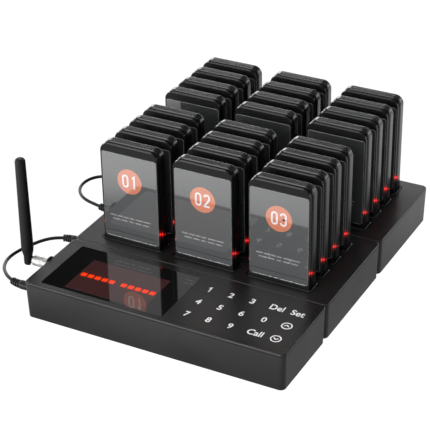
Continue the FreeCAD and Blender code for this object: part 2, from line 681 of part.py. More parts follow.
def pager(x, y, z):
    """All pieces of one pager, by name, with its front left foot at x, y, z."""
    ring_y = y + FRONT_T
    rear_y = ring_y + RING_T
    back_y = y + PAGER_T
    inner_y = back_y - SHELL_WALL
    mid_x = x + PAGER_W / 2
    front = fillet_rim(face_block(x, y, ring_y, z, 0), y, min(FRONT_EDGE_R, FRONT_T * RIM_TO_PLATE))
    front = front.cut(plate_block(x, y - 1, y + FACE_T + FACE_FIT, z, FACE_FIT))
    plate = plate_block(x, y + FACE_FIT, y + FACE_T + FACE_FIT, z, 0)
    ring = face_block(x, ring_y, rear_y, z, -RING_SUNK).cut(
        face_block(x, ring_y - 1, rear_y + 1, z, -RING_SUNK - RING_W))
    rear = fillet_rim(face_block(x, rear_y, back_y, z, 0), back_y, REAR_EDGE_R)
    rear = rear.cut(face_block(x, rear_y - 1, inner_y, z, -SHELL_WALL))
    board_y = rear_y + BOARD_BACK
    board_in = SHELL_WALL + BOARD_EDGE
    board = box(x + board_in, x + PAGER_W - board_in, board_y, board_y + BOARD_T, z + board_in + PAD_D,
                z + PAGER_H - PAGER_TOP_R - BOARD_TOP_IN)
    battery_z = z + PAGER_H * BATTERY_RISE
    part_y = board_y + BOARD_T
    battery = box(mid_x - BATTERY[0] / 2, mid_x + BATTERY[0] / 2, part_y, part_y + BATTERY[1],
                  battery_z, battery_z + BATTERY[2])
    motor_in = board_in + MOTOR_IN + MOTOR_R
    motor = rod(MOTOR_R, Vector(x + motor_in, part_y, z + PAD_D + motor_in), MOTOR_T, REAR)
    pad_y = y + PAGER_T / 2
    pads = []
    for side in (-1, 1):
        pad_x = mid_x + side * CONTACT_SPREAD
        hole = box(pad_x - PAD_W / 2, pad_x + PAD_W / 2, pad_y - PAD_D / 2, pad_y + PAD_D / 2, z - 1,
                   z + SHELL_WALL + 1)
        rear = rear.cut(hole)
        pads.append(box(pad_x - PAD_W / 2, pad_x + PAD_W / 2, pad_y - PAD_D / 2, pad_y + PAD_D / 2, z,
                        z + SHELL_WALL + PAD_RISE))
    return {
        "front_shell": [front],
        "face_plate": [plate],
        "light_ring": [ring],
        "rear_shell": [rear],
        "board": [board],
        "battery": [battery],
        "motor": [motor],
        "charge_pads": pads,
    }


# ---------------------------------------------------------------- link cables
def turned(angle_deg, side):
    """Level direction that starts leftwards and turns to the rear (side 1) or front (-1)."""
    angle = math.radians(angle_deg)
    return Vector(-math.cos(angle), side * math.sin(angle), 0)


def boot_point(start, radius, angle_deg, side):
    """Point on the flexed axis of a strain relief."""
    angle = math.radians(angle_deg)
    return start + Vector(-radius * math.sin(angle), side * radius * (1 - math.cos(angle)), 0)


def plug(y, bend, side):
    """Moulded barrel plug in the left wall, with a ribbed strain relief flexed to one side."""
    face_x = wall_inset(SOCKET_Z) - PLUG_GAP - WALL_DRAFT * PLUG_R / (TOP_Z - TUB_Z)
    body = rod(PLUG_R, Vector(face_x, y, SOCKET_Z), PLUG_L, LEFT)
    round_edges = [edge for edge in body.Edges if abs(edge.CenterOfMass.x - (face_x - PLUG_L)) < 0.01]
    body = body.makeFillet(PLUG_EDGE_R, round_edges)
    barrel = rod(BARREL_R, Vector(face_x - 1, y, SOCKET_Z), BARREL_L + 1, RIGHT)
    barrel = barrel.cut(rod(BARREL_BORE_R, Vector(face_x - 0.5, y, SOCKET_Z), BARREL_L + 1, RIGHT))
    start = Vector(face_x - PLUG_L + 0.5, y, SOCKET_Z)
    radius = BOOT_L / math.radians(bend)
    middle = boot_point(start, radius, bend / 2, side)
    end = boot_point(start, radius, bend, side)
    path = Part.Wire([Part.Arc(start, middle, end).toShape()])
    section = Part.Wire([Part.makeCircle(BOOT_R, start, LEFT)])
    pieces = [body, barrel, path.makePipeShell([section], True, True)]
    for index in range(BOOT_RIBS):
        angle = bend * (index + 0.9) / BOOT_RIBS
        centre = boot_point(start, radius, angle, side)
        along = turned(angle, side)
        rib_r = BOOT_RIB_R - RIB_STEP * index
        pieces.append(rod(rib_r, centre - along * RIB_L, RIB_L, along))
    return joined(pieces), end, turned(bend, side)


def on_the_way(first, last, share, x, z):
    """Corner of a route, a share of the way to the rear between two boots."""
    return Vector(x, first.y + (last.y - first.y) * share, z)


def cable(points, name):
    """Round lead of straight runs and tangent arcs through the corners of its route."""
    edges = []
    radii = []
    cursor = points[0]
    length = 0.0
    for index in range(1, len(points) - 1):
        before = points[index] - points[index - 1]
        after = points[index + 1] - points[index]
        turn = before.getAngle(after)
        reach = BEND_SHARE * min(before.Length, after.Length)
        radius = reach / math.tan(turn / 2)
        radii.append(radius)
        into = Vector(before).normalize()
        out = Vector(after).normalize()
        first = points[index] - into * reach
        last = points[index] + out * reach
        inward = (out - into).normalize()
        middle = points[index] + inward * (radius / math.cos(turn / 2) - radius)
        edges.append(Part.LineSegment(cursor, first).toShape())
        edges.append(Part.Arc(first, middle, last).toShape())
        length += (first - cursor).Length + radius * turn
        cursor = last
    edges.append(Part.LineSegment(cursor, points[-1]).toShape())
    length += (points[-1] - cursor).Length
    section = Part.Wire([Part.makeCircle(CABLE_R, points[0], points[1] - points[0])])
    tube = Part.Wire(edges).makePipeShell([section], True, True)
    expected = math.pi * CABLE_R ** 2 * length
    print(name, "length %.1f" % length, "radii", [round(radius, 1) for radius in radii],
          "volume ratio %.4f" % (tube.Volume / expected))
    return tube


# ---------------------------------------------------------------- antenna
def antenna_jack():
    """Threaded bulkhead jack through the left wall, with its hexagon inside."""
    inner_x = wall_inset(ANT_Z - JACK_HEX_R) + WALL
    tail_x = inner_x + JACK_HEX_T + JACK_TAIL
    barrel = rod(JACK_R, Vector(tail_x, ANT_Y, ANT_Z), tail_x - JACK_END_X, LEFT)
    corners = []
    for index in range(7):
        angle = math.radians(60 * index)
        corners.append(Vector(inner_x, ANT_Y + JACK_HEX_R * math.cos(angle),
                              ANT_Z + JACK_HEX_R * math.sin(angle)))
    hexagon = Part.Face(Part.makePolygon(corners)).extrude(Vector(JACK_HEX_T, 0, 0))
    return joined([barrel, hexagon])


def antenna_washer():
    """Round seal between the wall and the antenna's nut."""
    outer_x = wall_inset(ANT_Z) - WALL_DRAFT * WASHER_R / (TOP_Z - TUB_Z)
    disc = rod(WASHER_R, Vector(outer_x, ANT_Y, ANT_Z), WASHER_T, LEFT)
    rim = [edge for edge in disc.Edges if abs(edge.CenterOfMass.x - (outer_x - WASHER_T)) < 0.01]
    disc = disc.makeFillet(WASHER_EDGE_R, rim)
    return disc.cut(rod(JACK_R + SCREW_FIT, Vector(outer_x + 1, ANT_Y, ANT_Z), WASHER_T + 2, LEFT))


def antenna_nut():
    """Knurled coupling nut on the jack."""
    length = NUT_X[0] - NUT_X[1]
    body = rod(NUT_R, Vector(NUT_X[0], ANT_Y, ANT_Z), length, LEFT)
    grooves = []
    for index in range(NUT_GROOVES):
        angle = 2 * math.pi * index / NUT_GROOVES
        spot = Vector(NUT_X[0] - length * GROOVE_SPAN[0], ANT_Y + NUT_R * math.cos(angle),
                      ANT_Z + NUT_R * math.sin(angle))
        grooves.append(rod(GROOVE_R, spot, length * (GROOVE_SPAN[1] - GROOVE_SPAN[0]), LEFT))
    inner = rod(JACK_R + NUT_WALL_CLEAR, Vector(NUT_X[0] + 1, ANT_Y, ANT_Z), length, LEFT)
    throat = rod(FERRULE_R + NUT_WALL_CLEAR, Vector(JACK_END_X, ANT_Y, ANT_Z), length, LEFT)
    return body.cut(Part.makeCompound(grooves + [inner, throat]))


def antenna_elbow():
    """Swivel ferrule in the nut, with the flat tongue and the cross pin of the hinge."""
    start_x = JACK_END_X - FERRULE_GAP
    ferrule = rod(FERRULE_R, Vector(start_x, ANT_Y, ANT_Z), start_x - NUT_X[1] + FERRULE_OUT, LEFT)
    tongue = box(PIVOT_X, NUT_X[1] + 1, ANT_Y - TONGUE_T / 2, ANT_Y + TONGUE_T / 2,
                 ANT_Z - FERRULE_R * TONGUE_SHARE, ANT_Z + FERRULE_R * TONGUE_SHARE)
    eye = rod(TONGUE_R, Vector(PIVOT_X, ANT_Y - TONGUE_T / 2, ANT_Z), TONGUE_T, REAR)
    pin_l = 2 * (KNUCKLE_R - HINGE_PIN_IN)
    pin = rod(HINGE_PIN_R, Vector(PIVOT_X, ANT_Y - pin_l / 2, ANT_Z), pin_l, REAR)
    return joined([ferrule, tongue, eye, pin])


def antenna_rod():
    """Tapered rubber rod on a forked knuckle."""
    knuckle = rod(KNUCKLE_R, Vector(PIVOT_X, ANT_Y, ANT_Z - KNUCKLE_DOWN), KNUCKLE_DOWN + KNUCKLE_UP + 2)
    knuckle = fillet_level_edges(knuckle, ANT_Z - KNUCKLE_DOWN, KNUCKLE_EDGE_R)
    foot_z = ANT_Z + KNUCKLE_UP
    whip = Part.makeCone(ROD_R, ROD_TIP_R, ROD_TOP_Z - foot_z, Vector(PIVOT_X, ANT_Y, foot_z), UP)
    whip = fillet_level_edges(whip, ROD_TOP_Z, ROD_EDGE_R)
    slot = box(PIVOT_X - ROD_R, PIVOT_X + ROD_R, ANT_Y - TONGUE_T / 2 - TONGUE_CLEAR,
               ANT_Y + TONGUE_T / 2 + TONGUE_CLEAR, ANT_Z - KNUCKLE_DOWN - 1,
               ANT_Z + TONGUE_R + TONGUE_CLEAR)
    bore = rod(HINGE_PIN_R + HINGE_CLEAR, Vector(PIVOT_X, ANT_Y - ROD_R, ANT_Z), 2 * ROD_R, REAR)
    return joined([knuckle, whip]).cut(slot).cut(bore)


# ---------------------------------------------------------------- export
def export(node, solids):
    """Write one node, moved from the bench frame to the part's own origin."""
    shape = solids[0] if len(solids) == 1 else Part.makeCompound(solids)
    shape = shape.copy()
    shape.translate(ORIGIN * -1)
    if not shape.isValid():
        print("not valid:", node)
    shape.exportStep("parts/%s.step" % node)


def build_host():
    """Host housing, panel and electronics."""
    board_top = MAIN_BOARD_Z + BOARD
    holes = [(y, SOCKET_Z, WALL_HOLE_R) for y in (HOST_LINK_Y, HOST_INLET_Y)]
    holes.append((ANT_Y, ANT_Z, JACK_R + SCREW_BORE_CLEAR))
    export("host_base", [tub(0, HOST_D, holes, host_standoffs(), MAIN_BOARD_Z)])
    export("host_cover", [host_cover()])
    export("display_window", [display_window()])
    export("red_filter", [red_filter()])
    export("display_modules", display_modules())
    export("keypad_overlay", [keypad_overlay()])
    export("touch_springs", touch_springs())
    export("panel_board", [panel_board()])
    export("main_board", [main_board()])
    export("dc_inlet", [socket(HOST_INLET_Y, board_top)])
    export("antenna_jack", [antenna_jack()])
    export("antenna_washer", [antenna_washer()])
    export("antenna_nut", [antenna_nut()])
    export("antenna_elbow", [antenna_elbow()])
    export("antenna_rod", [antenna_rod()])


def build_docks():
    """Dock housings and charging boards."""
    holes = [(y, SOCKET_Z, WALL_HOLE_R) for y in DOCK_LINK_Y]
    for number, y0 in enumerate(DOCK_Y, 1):
        export("dock_%d_base" % number, [tub(y0, DOCK_D, holes, dock_standoffs(), DOCK_BOARD_Z)])
        export("dock_%d_cover" % number, [dock_cover(y0)])
        export("dock_%d_board" % number, [dock_board(y0)])


def build_shared():
    """Groups of like pieces that all three units carry."""
    units = [(0, HOST_D)] + [(y0, DOCK_D) for y0 in DOCK_Y]
    screws = panel_screws()
    pads = []
    for y0, depth in units:
        screws += case_screws(y0, depth)
        pads += feet(y0, depth)
    export("screws", screws)
    export("rubber_feet", pads)
    export("charging_pins", dock_pins(DOCK_Y[0]) + dock_pins(DOCK_Y[1]))
    sockets = [socket(HOST_LINK_Y, MAIN_BOARD_Z + BOARD)]
    for y0 in DOCK_Y:
        sockets += [socket(y0 + y, DOCK_BOARD_Z + BOARD) for y in DOCK_LINK_Y]
    export("link_sockets", sockets)


def build_cables():
    """Two short leads: host to dock 1, and dock 1 to dock 2."""
    first, tip_a, out_a = plug(HOST_LINK_Y, BOOT_BEND_1, 1)
    second, tip_b, out_b = plug(DOCK_Y[0] + DOCK_LINK_Y[0], BOOT_BEND_1, -1)
    route = [tip_a, tip_a + out_a * FIRST_RUN]
    route += [on_the_way(tip_a, tip_b, *point) for point in ROUTE_1]
    route += [tip_b + out_b * FIRST_RUN, tip_b]
    export("link_cable_1", [cable(route, "link_cable_1")])
    export("link_cable_1_plugs", [first, second])
    first, tip_a, out_a = plug(DOCK_Y[0] + DOCK_LINK_Y[1], BOOT_BEND_2, 1)
    second, tip_b, out_b = plug(DOCK_Y[1] + DOCK_LINK_Y[0], BOOT_BEND_2, 1)
    route = [tip_a, tip_a + out_a * FIRST_RUN]
    route += [on_the_way(tip_a, tip_b, *point) for point in ROUTE_2]
    route += [tip_b + out_b * FIRST_RUN, tip_b]
    export("link_cable_2", [cable(route, "link_cable_2")])
    export("link_cable_2_plugs", [first, second])


def build_pagers():
    """Pager 1 piece by piece, the other pagers as one node each."""
    number = 0
    for y0 in DOCK_Y:
        for x, y in slot_spots():
            number += 1
            pieces = pager(x, y0 + y, SEAT_Z)
            if number == 1:
                for piece, solids in pieces.items():
                    export("pager_01_%s" % piece, solids)
            else:
                export("pager_%02d" % number, [solid for solids in pieces.values() for solid in solids])


os.makedirs("parts", exist_ok=True)
build_host()
build_docks()
build_shared()
build_cables()
build_pagers()
print("origin", [round(value, 3) for value in ORIGIN])
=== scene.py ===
"""Dresses the guest pager system: finishes for its housings, and detailed pieces for what shows.

Shapes are worked out in bench millimetres: x from the host's left wall, y from its front
edge, z up from the counter.  bench() moves them into the part's frame.
"""

import math

import bpy
import numpy as np
from mathutils import Matrix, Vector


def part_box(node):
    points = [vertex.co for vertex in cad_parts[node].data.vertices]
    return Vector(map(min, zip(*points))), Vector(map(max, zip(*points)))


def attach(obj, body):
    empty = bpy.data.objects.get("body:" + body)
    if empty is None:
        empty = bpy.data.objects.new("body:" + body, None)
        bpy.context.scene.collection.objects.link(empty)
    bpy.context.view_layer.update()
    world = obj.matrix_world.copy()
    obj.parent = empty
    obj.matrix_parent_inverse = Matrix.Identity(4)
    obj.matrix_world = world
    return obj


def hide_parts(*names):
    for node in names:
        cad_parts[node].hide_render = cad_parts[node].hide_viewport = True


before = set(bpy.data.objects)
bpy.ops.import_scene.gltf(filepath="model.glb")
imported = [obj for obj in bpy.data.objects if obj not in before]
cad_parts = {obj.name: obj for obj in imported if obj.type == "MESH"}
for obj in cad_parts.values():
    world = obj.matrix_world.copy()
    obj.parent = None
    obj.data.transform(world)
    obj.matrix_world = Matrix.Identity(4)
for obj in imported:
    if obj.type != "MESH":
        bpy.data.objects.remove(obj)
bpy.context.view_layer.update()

bl_info = {
    "name": "Guest pager system",
    "version": (1, 0, 0),
    "blender": (4, 5, 0),
    "location": "3D View > Sidebar > Pagers",
    "description": "Builds the host, charging docks, pagers, antenna and link leads",
    "category": "Object",
}

MM = 0.001
ORIGIN = np.array([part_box("host_cover")[0][0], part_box("host_cover")[0][1], 0.0])


def size_of(node):
    """Width, depth and height of a node, in millimetres."""
    low, high = (np.array(corner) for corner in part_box(node))
    return (high - low) / MM


def foot_of(node):
    """Left, front, lowest corner of a node on the bench, in millimetres."""
    return (np.array(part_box(node)[0]) - ORIGIN) / MM


PAGER_SIZE = size_of("pager_02")
TOP_Z = foot_of("host_cover")[2] + size_of("host_cover")[2]
PAGERS = ["pager_%02d" % number for number in range(1, 25)]


def linear(code):
    """Linear red, green, blue and alpha of an sRGB hex value."""
    parts = (int(code[at:at + 2], 16) / 255 for at in (1, 3, 5))
    return (*(p / 12.92 if p <= 0.04045 else ((p + 0.055) / 1.055) ** 2.4 for p in parts), 1.0)


def bench(points):
    """Bench millimetres to metres in the part's frame."""
    return np.asarray(points, float) * MM + ORIGIN


# ---- settings
def length(name, description, millimetres):
    """Length property that is typed in metres and given here in millimetres."""
    return bpy.props.FloatProperty(
        name=name, description=description, default=millimetres * MM, precision=5, unit="LENGTH",
        subtype="DISTANCE")


def colour(name, description, code):
    """Colour property from an sRGB hex value."""
    return bpy.props.FloatVectorProperty(
        name=name, description=description, size=4, min=0.0, max=1.0, default=linear(code),
        subtype="COLOR")


def strength(name, description, value):
    """Plain factor property."""
    return bpy.props.FloatProperty(
        name=name, description=description, default=value, min=0.0, subtype="FACTOR")


def angle(name, description, degrees):
    """Angle property, given here in degrees."""
    return bpy.props.FloatProperty(
        name=name, description=description, default=math.radians(degrees), subtype="ANGLE")


class HousingSettings(bpy.types.PropertyGroup):
    """Moulded boxes of the host and the docks."""
    case: colour("Case", "Black of the moulded housings", "#161616")
    case_worn: colour("Case, worn", "Tone of the parts that hands polish", "#1B1B1C")
    grain: length("Grain", "Spacing of the spark-eroded grain, drawn coarse enough to show", 0.8)
    board: colour("Board", "Green solder mask", "#0E5A2C")


class DisplaySettings(bpy.types.PropertyGroup):
    """Window, red field and lit dashes."""
    window: colour("Window", "Smoked acrylic", "#111112")
    field: colour("Field", "Red filter seen through the window", "#412727")
    dash: colour("Dash", "Lit middle segment", "#FF2000")
    dash_core: colour("Dash core", "Hottest part of a lit segment", "#FF4E1C")
    field_left: length("Field left", "Left edge of the red field from the host's left side", 37.6)
    field_right: length("Field right", "Right edge of the red field", 118.2)
    field_front: length("Field front", "Front edge of the red field from the host's front", 9.9)
    field_rear: length("Field rear", "Rear edge of the red field", 60.4)
    dash_y: length("Dash line", "Middle of the dashes from the host's front", 35.2)
    dash_width: length("Dash width", "Length of one dash", 5.6)
    dash_depth: length("Dash depth", "Height of one dash, as a reader sees it", 5.8)
    dash_pitch: length("Digit pitch", "From one digit to the next", 7.33)
    glow: strength("Glow", "Light given by a dash", 1.0)


class KeypadSettings(bpy.types.PropertyGroup):
    """Touch keypad legends."""
    film: colour("Film", "Matt printed film", "#161617")
    ink: colour("Ink", "White screen print", "#EDEDED")
    first_x: length("First column", "First key column from the host's left side", 156.5)
    first_y: length("Front row", "Front key row from the host's front", 20.4)
    pitch_x: length("Column pitch", "Between key columns", 21.4)
    pitch_y: length("Row pitch", "Between key rows", 21.55)
    ring: length("Ring", "Diameter of the ring round an arrow", 10.2)
    stroke: length("Stroke", "Line width of the rings and arrows", 1.25)


class PagerSettings(bpy.types.PropertyGroup):
    """Slab pagers."""
    shell: colour("Shell", "Black of the moulded shells", "#121314")
    card: colour("Card", "Printed card behind the clear plate", "#3C3D3E")
    badge: colour("Badge", "Round number badge", "#AC654A")
    ink: colour("Ink", "Numbers on the badge", "#C6C0C2")
    faint: colour("Faint ink", "Small print lines under the badge", "#8C8C8E")
    # The plate edge's grey is partly its own tone and partly painted highlight.
    edge: colour("Plate edge", "Polished edge of the clear plate", "#7A7C7E")
    light: colour("Light", "Red of the side lights", "#FF2824")
    front_edge: length("Front edge", "Height of the slope round the face", 0.6)
    rear_edge: length("Rear edge", "Rounding of the back's edge", 1.3)
    badge_size: length("Badge size", "Diameter of the badge", 25.5)
    badge_height: length("Badge height", "Badge centre above the pager's foot", 81.1)
    light_height: length("Light height", "Side lights above the pager's foot", 31.8)


class AntennaSettings(bpy.types.PropertyGroup):
    """Hinged antenna."""
    rubber: colour("Rod", "Matt moulded sleeve", "#111112")
    nickel: colour("Nut", "Nickel plate", "#B6B6B5")
    knurls: bpy.props.IntProperty(
        name="Knurls", description="Ridges round the nut", default=36, min=12)
    knurl_depth: length("Knurl depth", "Height of the ridges", 0.12)


class LeadSettings(bpy.types.PropertyGroup):
    """Link leads and their plugs."""
    jacket: colour("Jacket", "Satin PVC", "#131416")
    diameter: length("Diameter", "Outside of the jacket", 3.2)


class StageSettings(bpy.types.PropertyGroup):
    """Floor, lights and camera."""
    lens: bpy.props.FloatProperty(
        name="Lens", description="Focal length on a 36 mm sensor", default=131.44, unit="CAMERA")
    azimuth: angle("Azimuth", "Camera round the part from its front", 28.33)
    elevation: angle("Elevation", "Camera above the counter", 29.84)
    roll: angle("Roll", "Camera about its own line of sight", -0.949)
    floor: strength("Floor", "Own light of the pale table", 1.03)


# ---- surfaces
def outline(low, high, radii, insets, steps=10):
    """Rounded rectangles: corner centre + (radius - inset) * (cos t, sin t), t over each quarter.

    The corners run from the lower left one, counter-clockwise, and each inset gives one outline.
    """
    corners = np.array([[low[0], low[1]], [high[0], low[1]], [high[0], high[1]], [low[0], high[1]]])
    inward = np.array([[1, 1], [-1, 1], [-1, -1], [1, -1]])
    radii = np.array(radii, float)
    centres = corners + inward * radii[:, None]
    turn = np.radians(np.array([180, 270, 360, 90])[:, None] + np.linspace(0, 90, steps + 1))
    arc = np.stack([np.cos(turn), np.sin(turn)], -1)
    reach = radii[None, :, None, None] - np.asarray(insets, float)[:, None, None, None]
    return (centres[None, :, None] + reach * arc[None]).reshape(len(insets), -1, 2)


def loft(loops, wrap=False):
    """Grid of quads through closed loops: point (i, j) joins its neighbours along both parameters.

    With wrap the last loop joins the first, and otherwise a flat cap closes each end.
    """
    loops = np.asarray(loops, float)
    rows, count = loops.shape[:2]
    index = np.arange(rows * count).reshape(rows, count)
    ahead = np.roll(index, -1, axis=0)
    quads = np.stack([index, np.roll(index, -1, axis=1), np.roll(ahead, -1, axis=1), ahead], -1)
    faces = quads[:rows if wrap else rows - 1].reshape(-1, 4).tolist()
    if not wrap:
        faces += [index[0, ::-1].tolist(), index[-1].tolist()]
    return loops.reshape(-1, 3), faces


def outward(points, faces):
    """Faces that look outwards: the volume, the sum of a . (b x c) / 6, has to be above nought."""
    fans = np.concatenate([
        [(face[0], face[at], face[at + 1]) for at in range(1, len(face) - 1)] for face in faces])
    a, b, c = (points[fans[:, at]] for at in range(3))
    inside_out = np.einsum("ij,ij->i", a, np.cross(b, c)).sum() <= 0
    return [face[::-1] for face in faces] if inside_out else faces


def place(name, data):
    """New object for a mesh, curve or camera, in the scene."""
    made = bpy.data.objects.new(name, data)
    bpy.context.scene.collection.objects.link(made)
    return made


def piece(name, parts, materials, body, replaced=(), local=None, sharp=38.0):
    """One object from parts, each (points on the bench, faces, material number)."""
    points, faces, numbers = [], [], []
    for part_points, part_faces, number in parts:
        start = sum(len(block) for block in points)
        turned = outward(part_points - part_points.mean(axis=0), part_faces)
        faces += [[start + corner for corner in face] for face in turned]
        numbers += [number] * len(turned)
        points.append(part_points)
    points = np.concatenate(points)
    mesh = bpy.data.meshes.new(name)
    mesh.from_pydata(bench(points).tolist(), [], faces)
    mesh.polygons.foreach_set("material_index", numbers)
    mesh.polygons.foreach_set("use_smooth", [True] * len(faces))
    if local is not None:
        held = mesh.attributes.new("local_mm", "FLOAT_VECTOR", "POINT")
        held.data.foreach_set("vector", (points - local).ravel())
    for material in materials:
        mesh.materials.append(material)
    mesh.set_sharp_from_angle(angle=math.radians(sharp))
    made = place(name, mesh)
    made.modifiers.new("Flat faces stay flat", "WEIGHTED_NORMAL").keep_sharp = True
    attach(made, body)
    if replaced:
        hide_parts(*replaced)
    return made


def arc_profile(centre, radius, start, end, steps=5):
    """Points centre + radius * (cos t, sin t) for t from start to end, in degrees."""
    turn = np.radians(np.linspace(start, end, steps + 1))
    return np.stack([centre[0] + radius * np.cos(turn), centre[1] + radius * np.sin(turn)], -1)


def turned_tube(centres, along, radii, count=48, side=(0.0, 0.0, 1.0), ripple=None):
    """Round body: centre + radius * (cos p * across + sin p * over), both square to along."""
    along = np.asarray(along, float)
    across = np.cross(np.broadcast_to(np.asarray(side, float), along.shape), along)
    across /= np.linalg.norm(across, axis=1, keepdims=True)
    over = np.cross(along, across)
    turn = np.linspace(0, 2 * math.pi, count, endpoint=False)
    reach = np.asarray(radii, float)[:, None]
    if ripple is not None:
        reach = reach + ripple(turn)
    spokes = (np.cos(turn)[None, :, None] * across[:, None]
              + np.sin(turn)[None, :, None] * over[:, None])
    return np.asarray(centres, float)[:, None] + reach[..., None] * spokes


SHARPEST_MITRE = 0.35   # keeps a stroke's sharp corners from growing into spikes
CIRCLE = (0, 352.5, 47)     # first and last degree and steps of a closed circle of 48 points


def ribbon(path, width, low, high, closed=False):
    """Flat stroke: path point + or - width / 2 along the mitred normal, between two levels."""
    path = np.asarray(path, float)
    if closed:
        before, after = path - np.roll(path, 1, 0), np.roll(path, -1, 0) - path
    else:
        steps = np.diff(path, axis=0)
        before, after = np.concatenate([steps[:1], steps]), np.concatenate([steps, steps[-1:]])
    before = before / np.linalg.norm(before, axis=1, keepdims=True)
    after = after / np.linalg.norm(after, axis=1, keepdims=True)
    normal = (before + after)[:, ::-1] * (-1, 1)
    normal /= np.linalg.norm(normal, axis=1, keepdims=True)
    mitre = np.abs((normal * (after[:, ::-1] * (-1, 1))).sum(1))
    reach = (width / 2 / np.maximum(mitre, SHARPEST_MITRE))[:, None]
    level = np.ones((len(path), 1))
    loops = np.stack([
        np.hstack([path + way * normal * reach, level * height])
        for way, height in ((1, low), (-1, low), (-1, high), (1, high))], 1)
    return loft(loops, wrap=closed)


def flat_plate(low, high, radius, bottom, top, edge):
    """Level plate: outlines stacked from bottom to top, the last one drawn in by a rounded edge."""
    profile = np.concatenate([[(0.0, bottom)], arc_profile((edge, top - edge), edge, 180, 90, 3)])
    plan = outline(low, high, [radius] * 4, profile[:, 0], 6)
    level = np.repeat(profile[:, 1], plan.shape[1]).reshape(plan.shape[:2])
    return loft(np.concatenate([plan, level[..., None]], -1))


# ---- finishes
def add(tree, kind, inputs=None, **settings):
    """Adds one node with its settings and links.

    An input is a value, another node's output, a formula, which is a tuple of a maths operation
    and its inputs, or a function that works out one of these for the tree.
    """
    made = tree.nodes.new(kind)
    for name, value in settings.items():
        setattr(made, name, value)
    for name, value in (inputs or {}).items():
        if callable(value):
            value = value(tree)
        if isinstance(value, tuple) and isinstance(value[0], str):
            terms = dict(enumerate(value[1:]))
            value = add(tree, "ShaderNodeMath", terms, operation=value[0]).outputs[0]
        if isinstance(value, bpy.types.NodeSocket):
            tree.links.new(value, made.inputs[name])
        else:
            made.inputs[name].default_value = value
    return made


def bell(value, centre, width):
    """Formula of a bell curve, exp(-((value - centre) / width)^2)."""
    square = ("POWER", ("DIVIDE", ("SUBTRACT", value, centre), width), 2.0)
    return ("EXPONENT", ("MULTIPLY", square, -1.0))


def empty_tree(owner):
    """Node tree of a material or a world, with nothing in it."""
    owner.use_nodes = True
    owner.node_tree.nodes.clear()
    return owner.node_tree


def blend(tree, value, span, first, second):
    """Colour that goes from the first tone to the second as a value crosses a span."""
    share = add(tree, "ShaderNodeMapRange", {
        "Value": value, "From Min": span[0], "From Max": span[1]}).outputs[0]
    # Sockets 6 and 7 take the two colours, and output 2 gives the mixed one.
    return add(tree, "ShaderNodeMix", {0: share, 6: first, 7: second}, data_type="RGBA").outputs[2]


def tone_of(value, first=None):
    """Linear colour from a hex value, a colour setting, or a factor on the first tone."""
    if isinstance(value, float):
        return tuple(part * value for part in first[:3]) + (1.0,)
    return linear(value) if isinstance(value, str) else tuple(value)


TONE_SPAN, GLOSS_SPAN = (0.35, 0.65), (0.3, 0.7)    # noise between which tone and gloss change


def finish(name, tones, patch, rough, grain, relief, **sockets):
    """Material whose tone and gloss drift in patches over a fine grain.

    tones are two colours, or a colour and a factor on it.  patch and grain are real sizes in
    millimetres, relief is the grain's height in millimetres, and rough is the roughness of its
    glossiest and dullest patches.
    """
    material = bpy.data.materials.new(name)
    tree = empty_tree(material)
    where = add(tree, "ShaderNodeTexCoord").outputs["Object"]
    drift, fine = (
        add(tree, "ShaderNodeTexNoise",
            {"Vector": where, "Scale": 1 / (size * MM), "Detail": detail}).outputs[0]
        for size, detail in ((patch, 3.0), (grain, 2.0)))
    first = tone_of(tones[0])
    dull = add(tree, "ShaderNodeMapRange", {
        "Value": drift, "From Min": GLOSS_SPAN[0], "From Max": GLOSS_SPAN[1],
        "To Min": rough[0], "To Max": rough[1]})
    bump = add(tree, "ShaderNodeBump", {"Height": fine, "Distance": relief * MM, "Strength": 1.0})
    shader = add(tree, "ShaderNodeBsdfPrincipled", {
        "Base Color": blend(tree, drift, TONE_SPAN, first, tone_of(tones[1], first)),
        "Roughness": dull.outputs[0], "Normal": bump.outputs[0], **sockets})
    add(tree, "ShaderNodeOutputMaterial", {"Surface": shader.outputs[0]})
    return material


def dress(names, *looks, **sockets):
    material = finish(*looks, **sockets)
    for name in names:
        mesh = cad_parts[name].data
        mesh.materials.clear()
        mesh.materials.append(material)
    return material


# ---- housings
GOLD = "gold flashed brass"     # one finish for all charging pins and pads


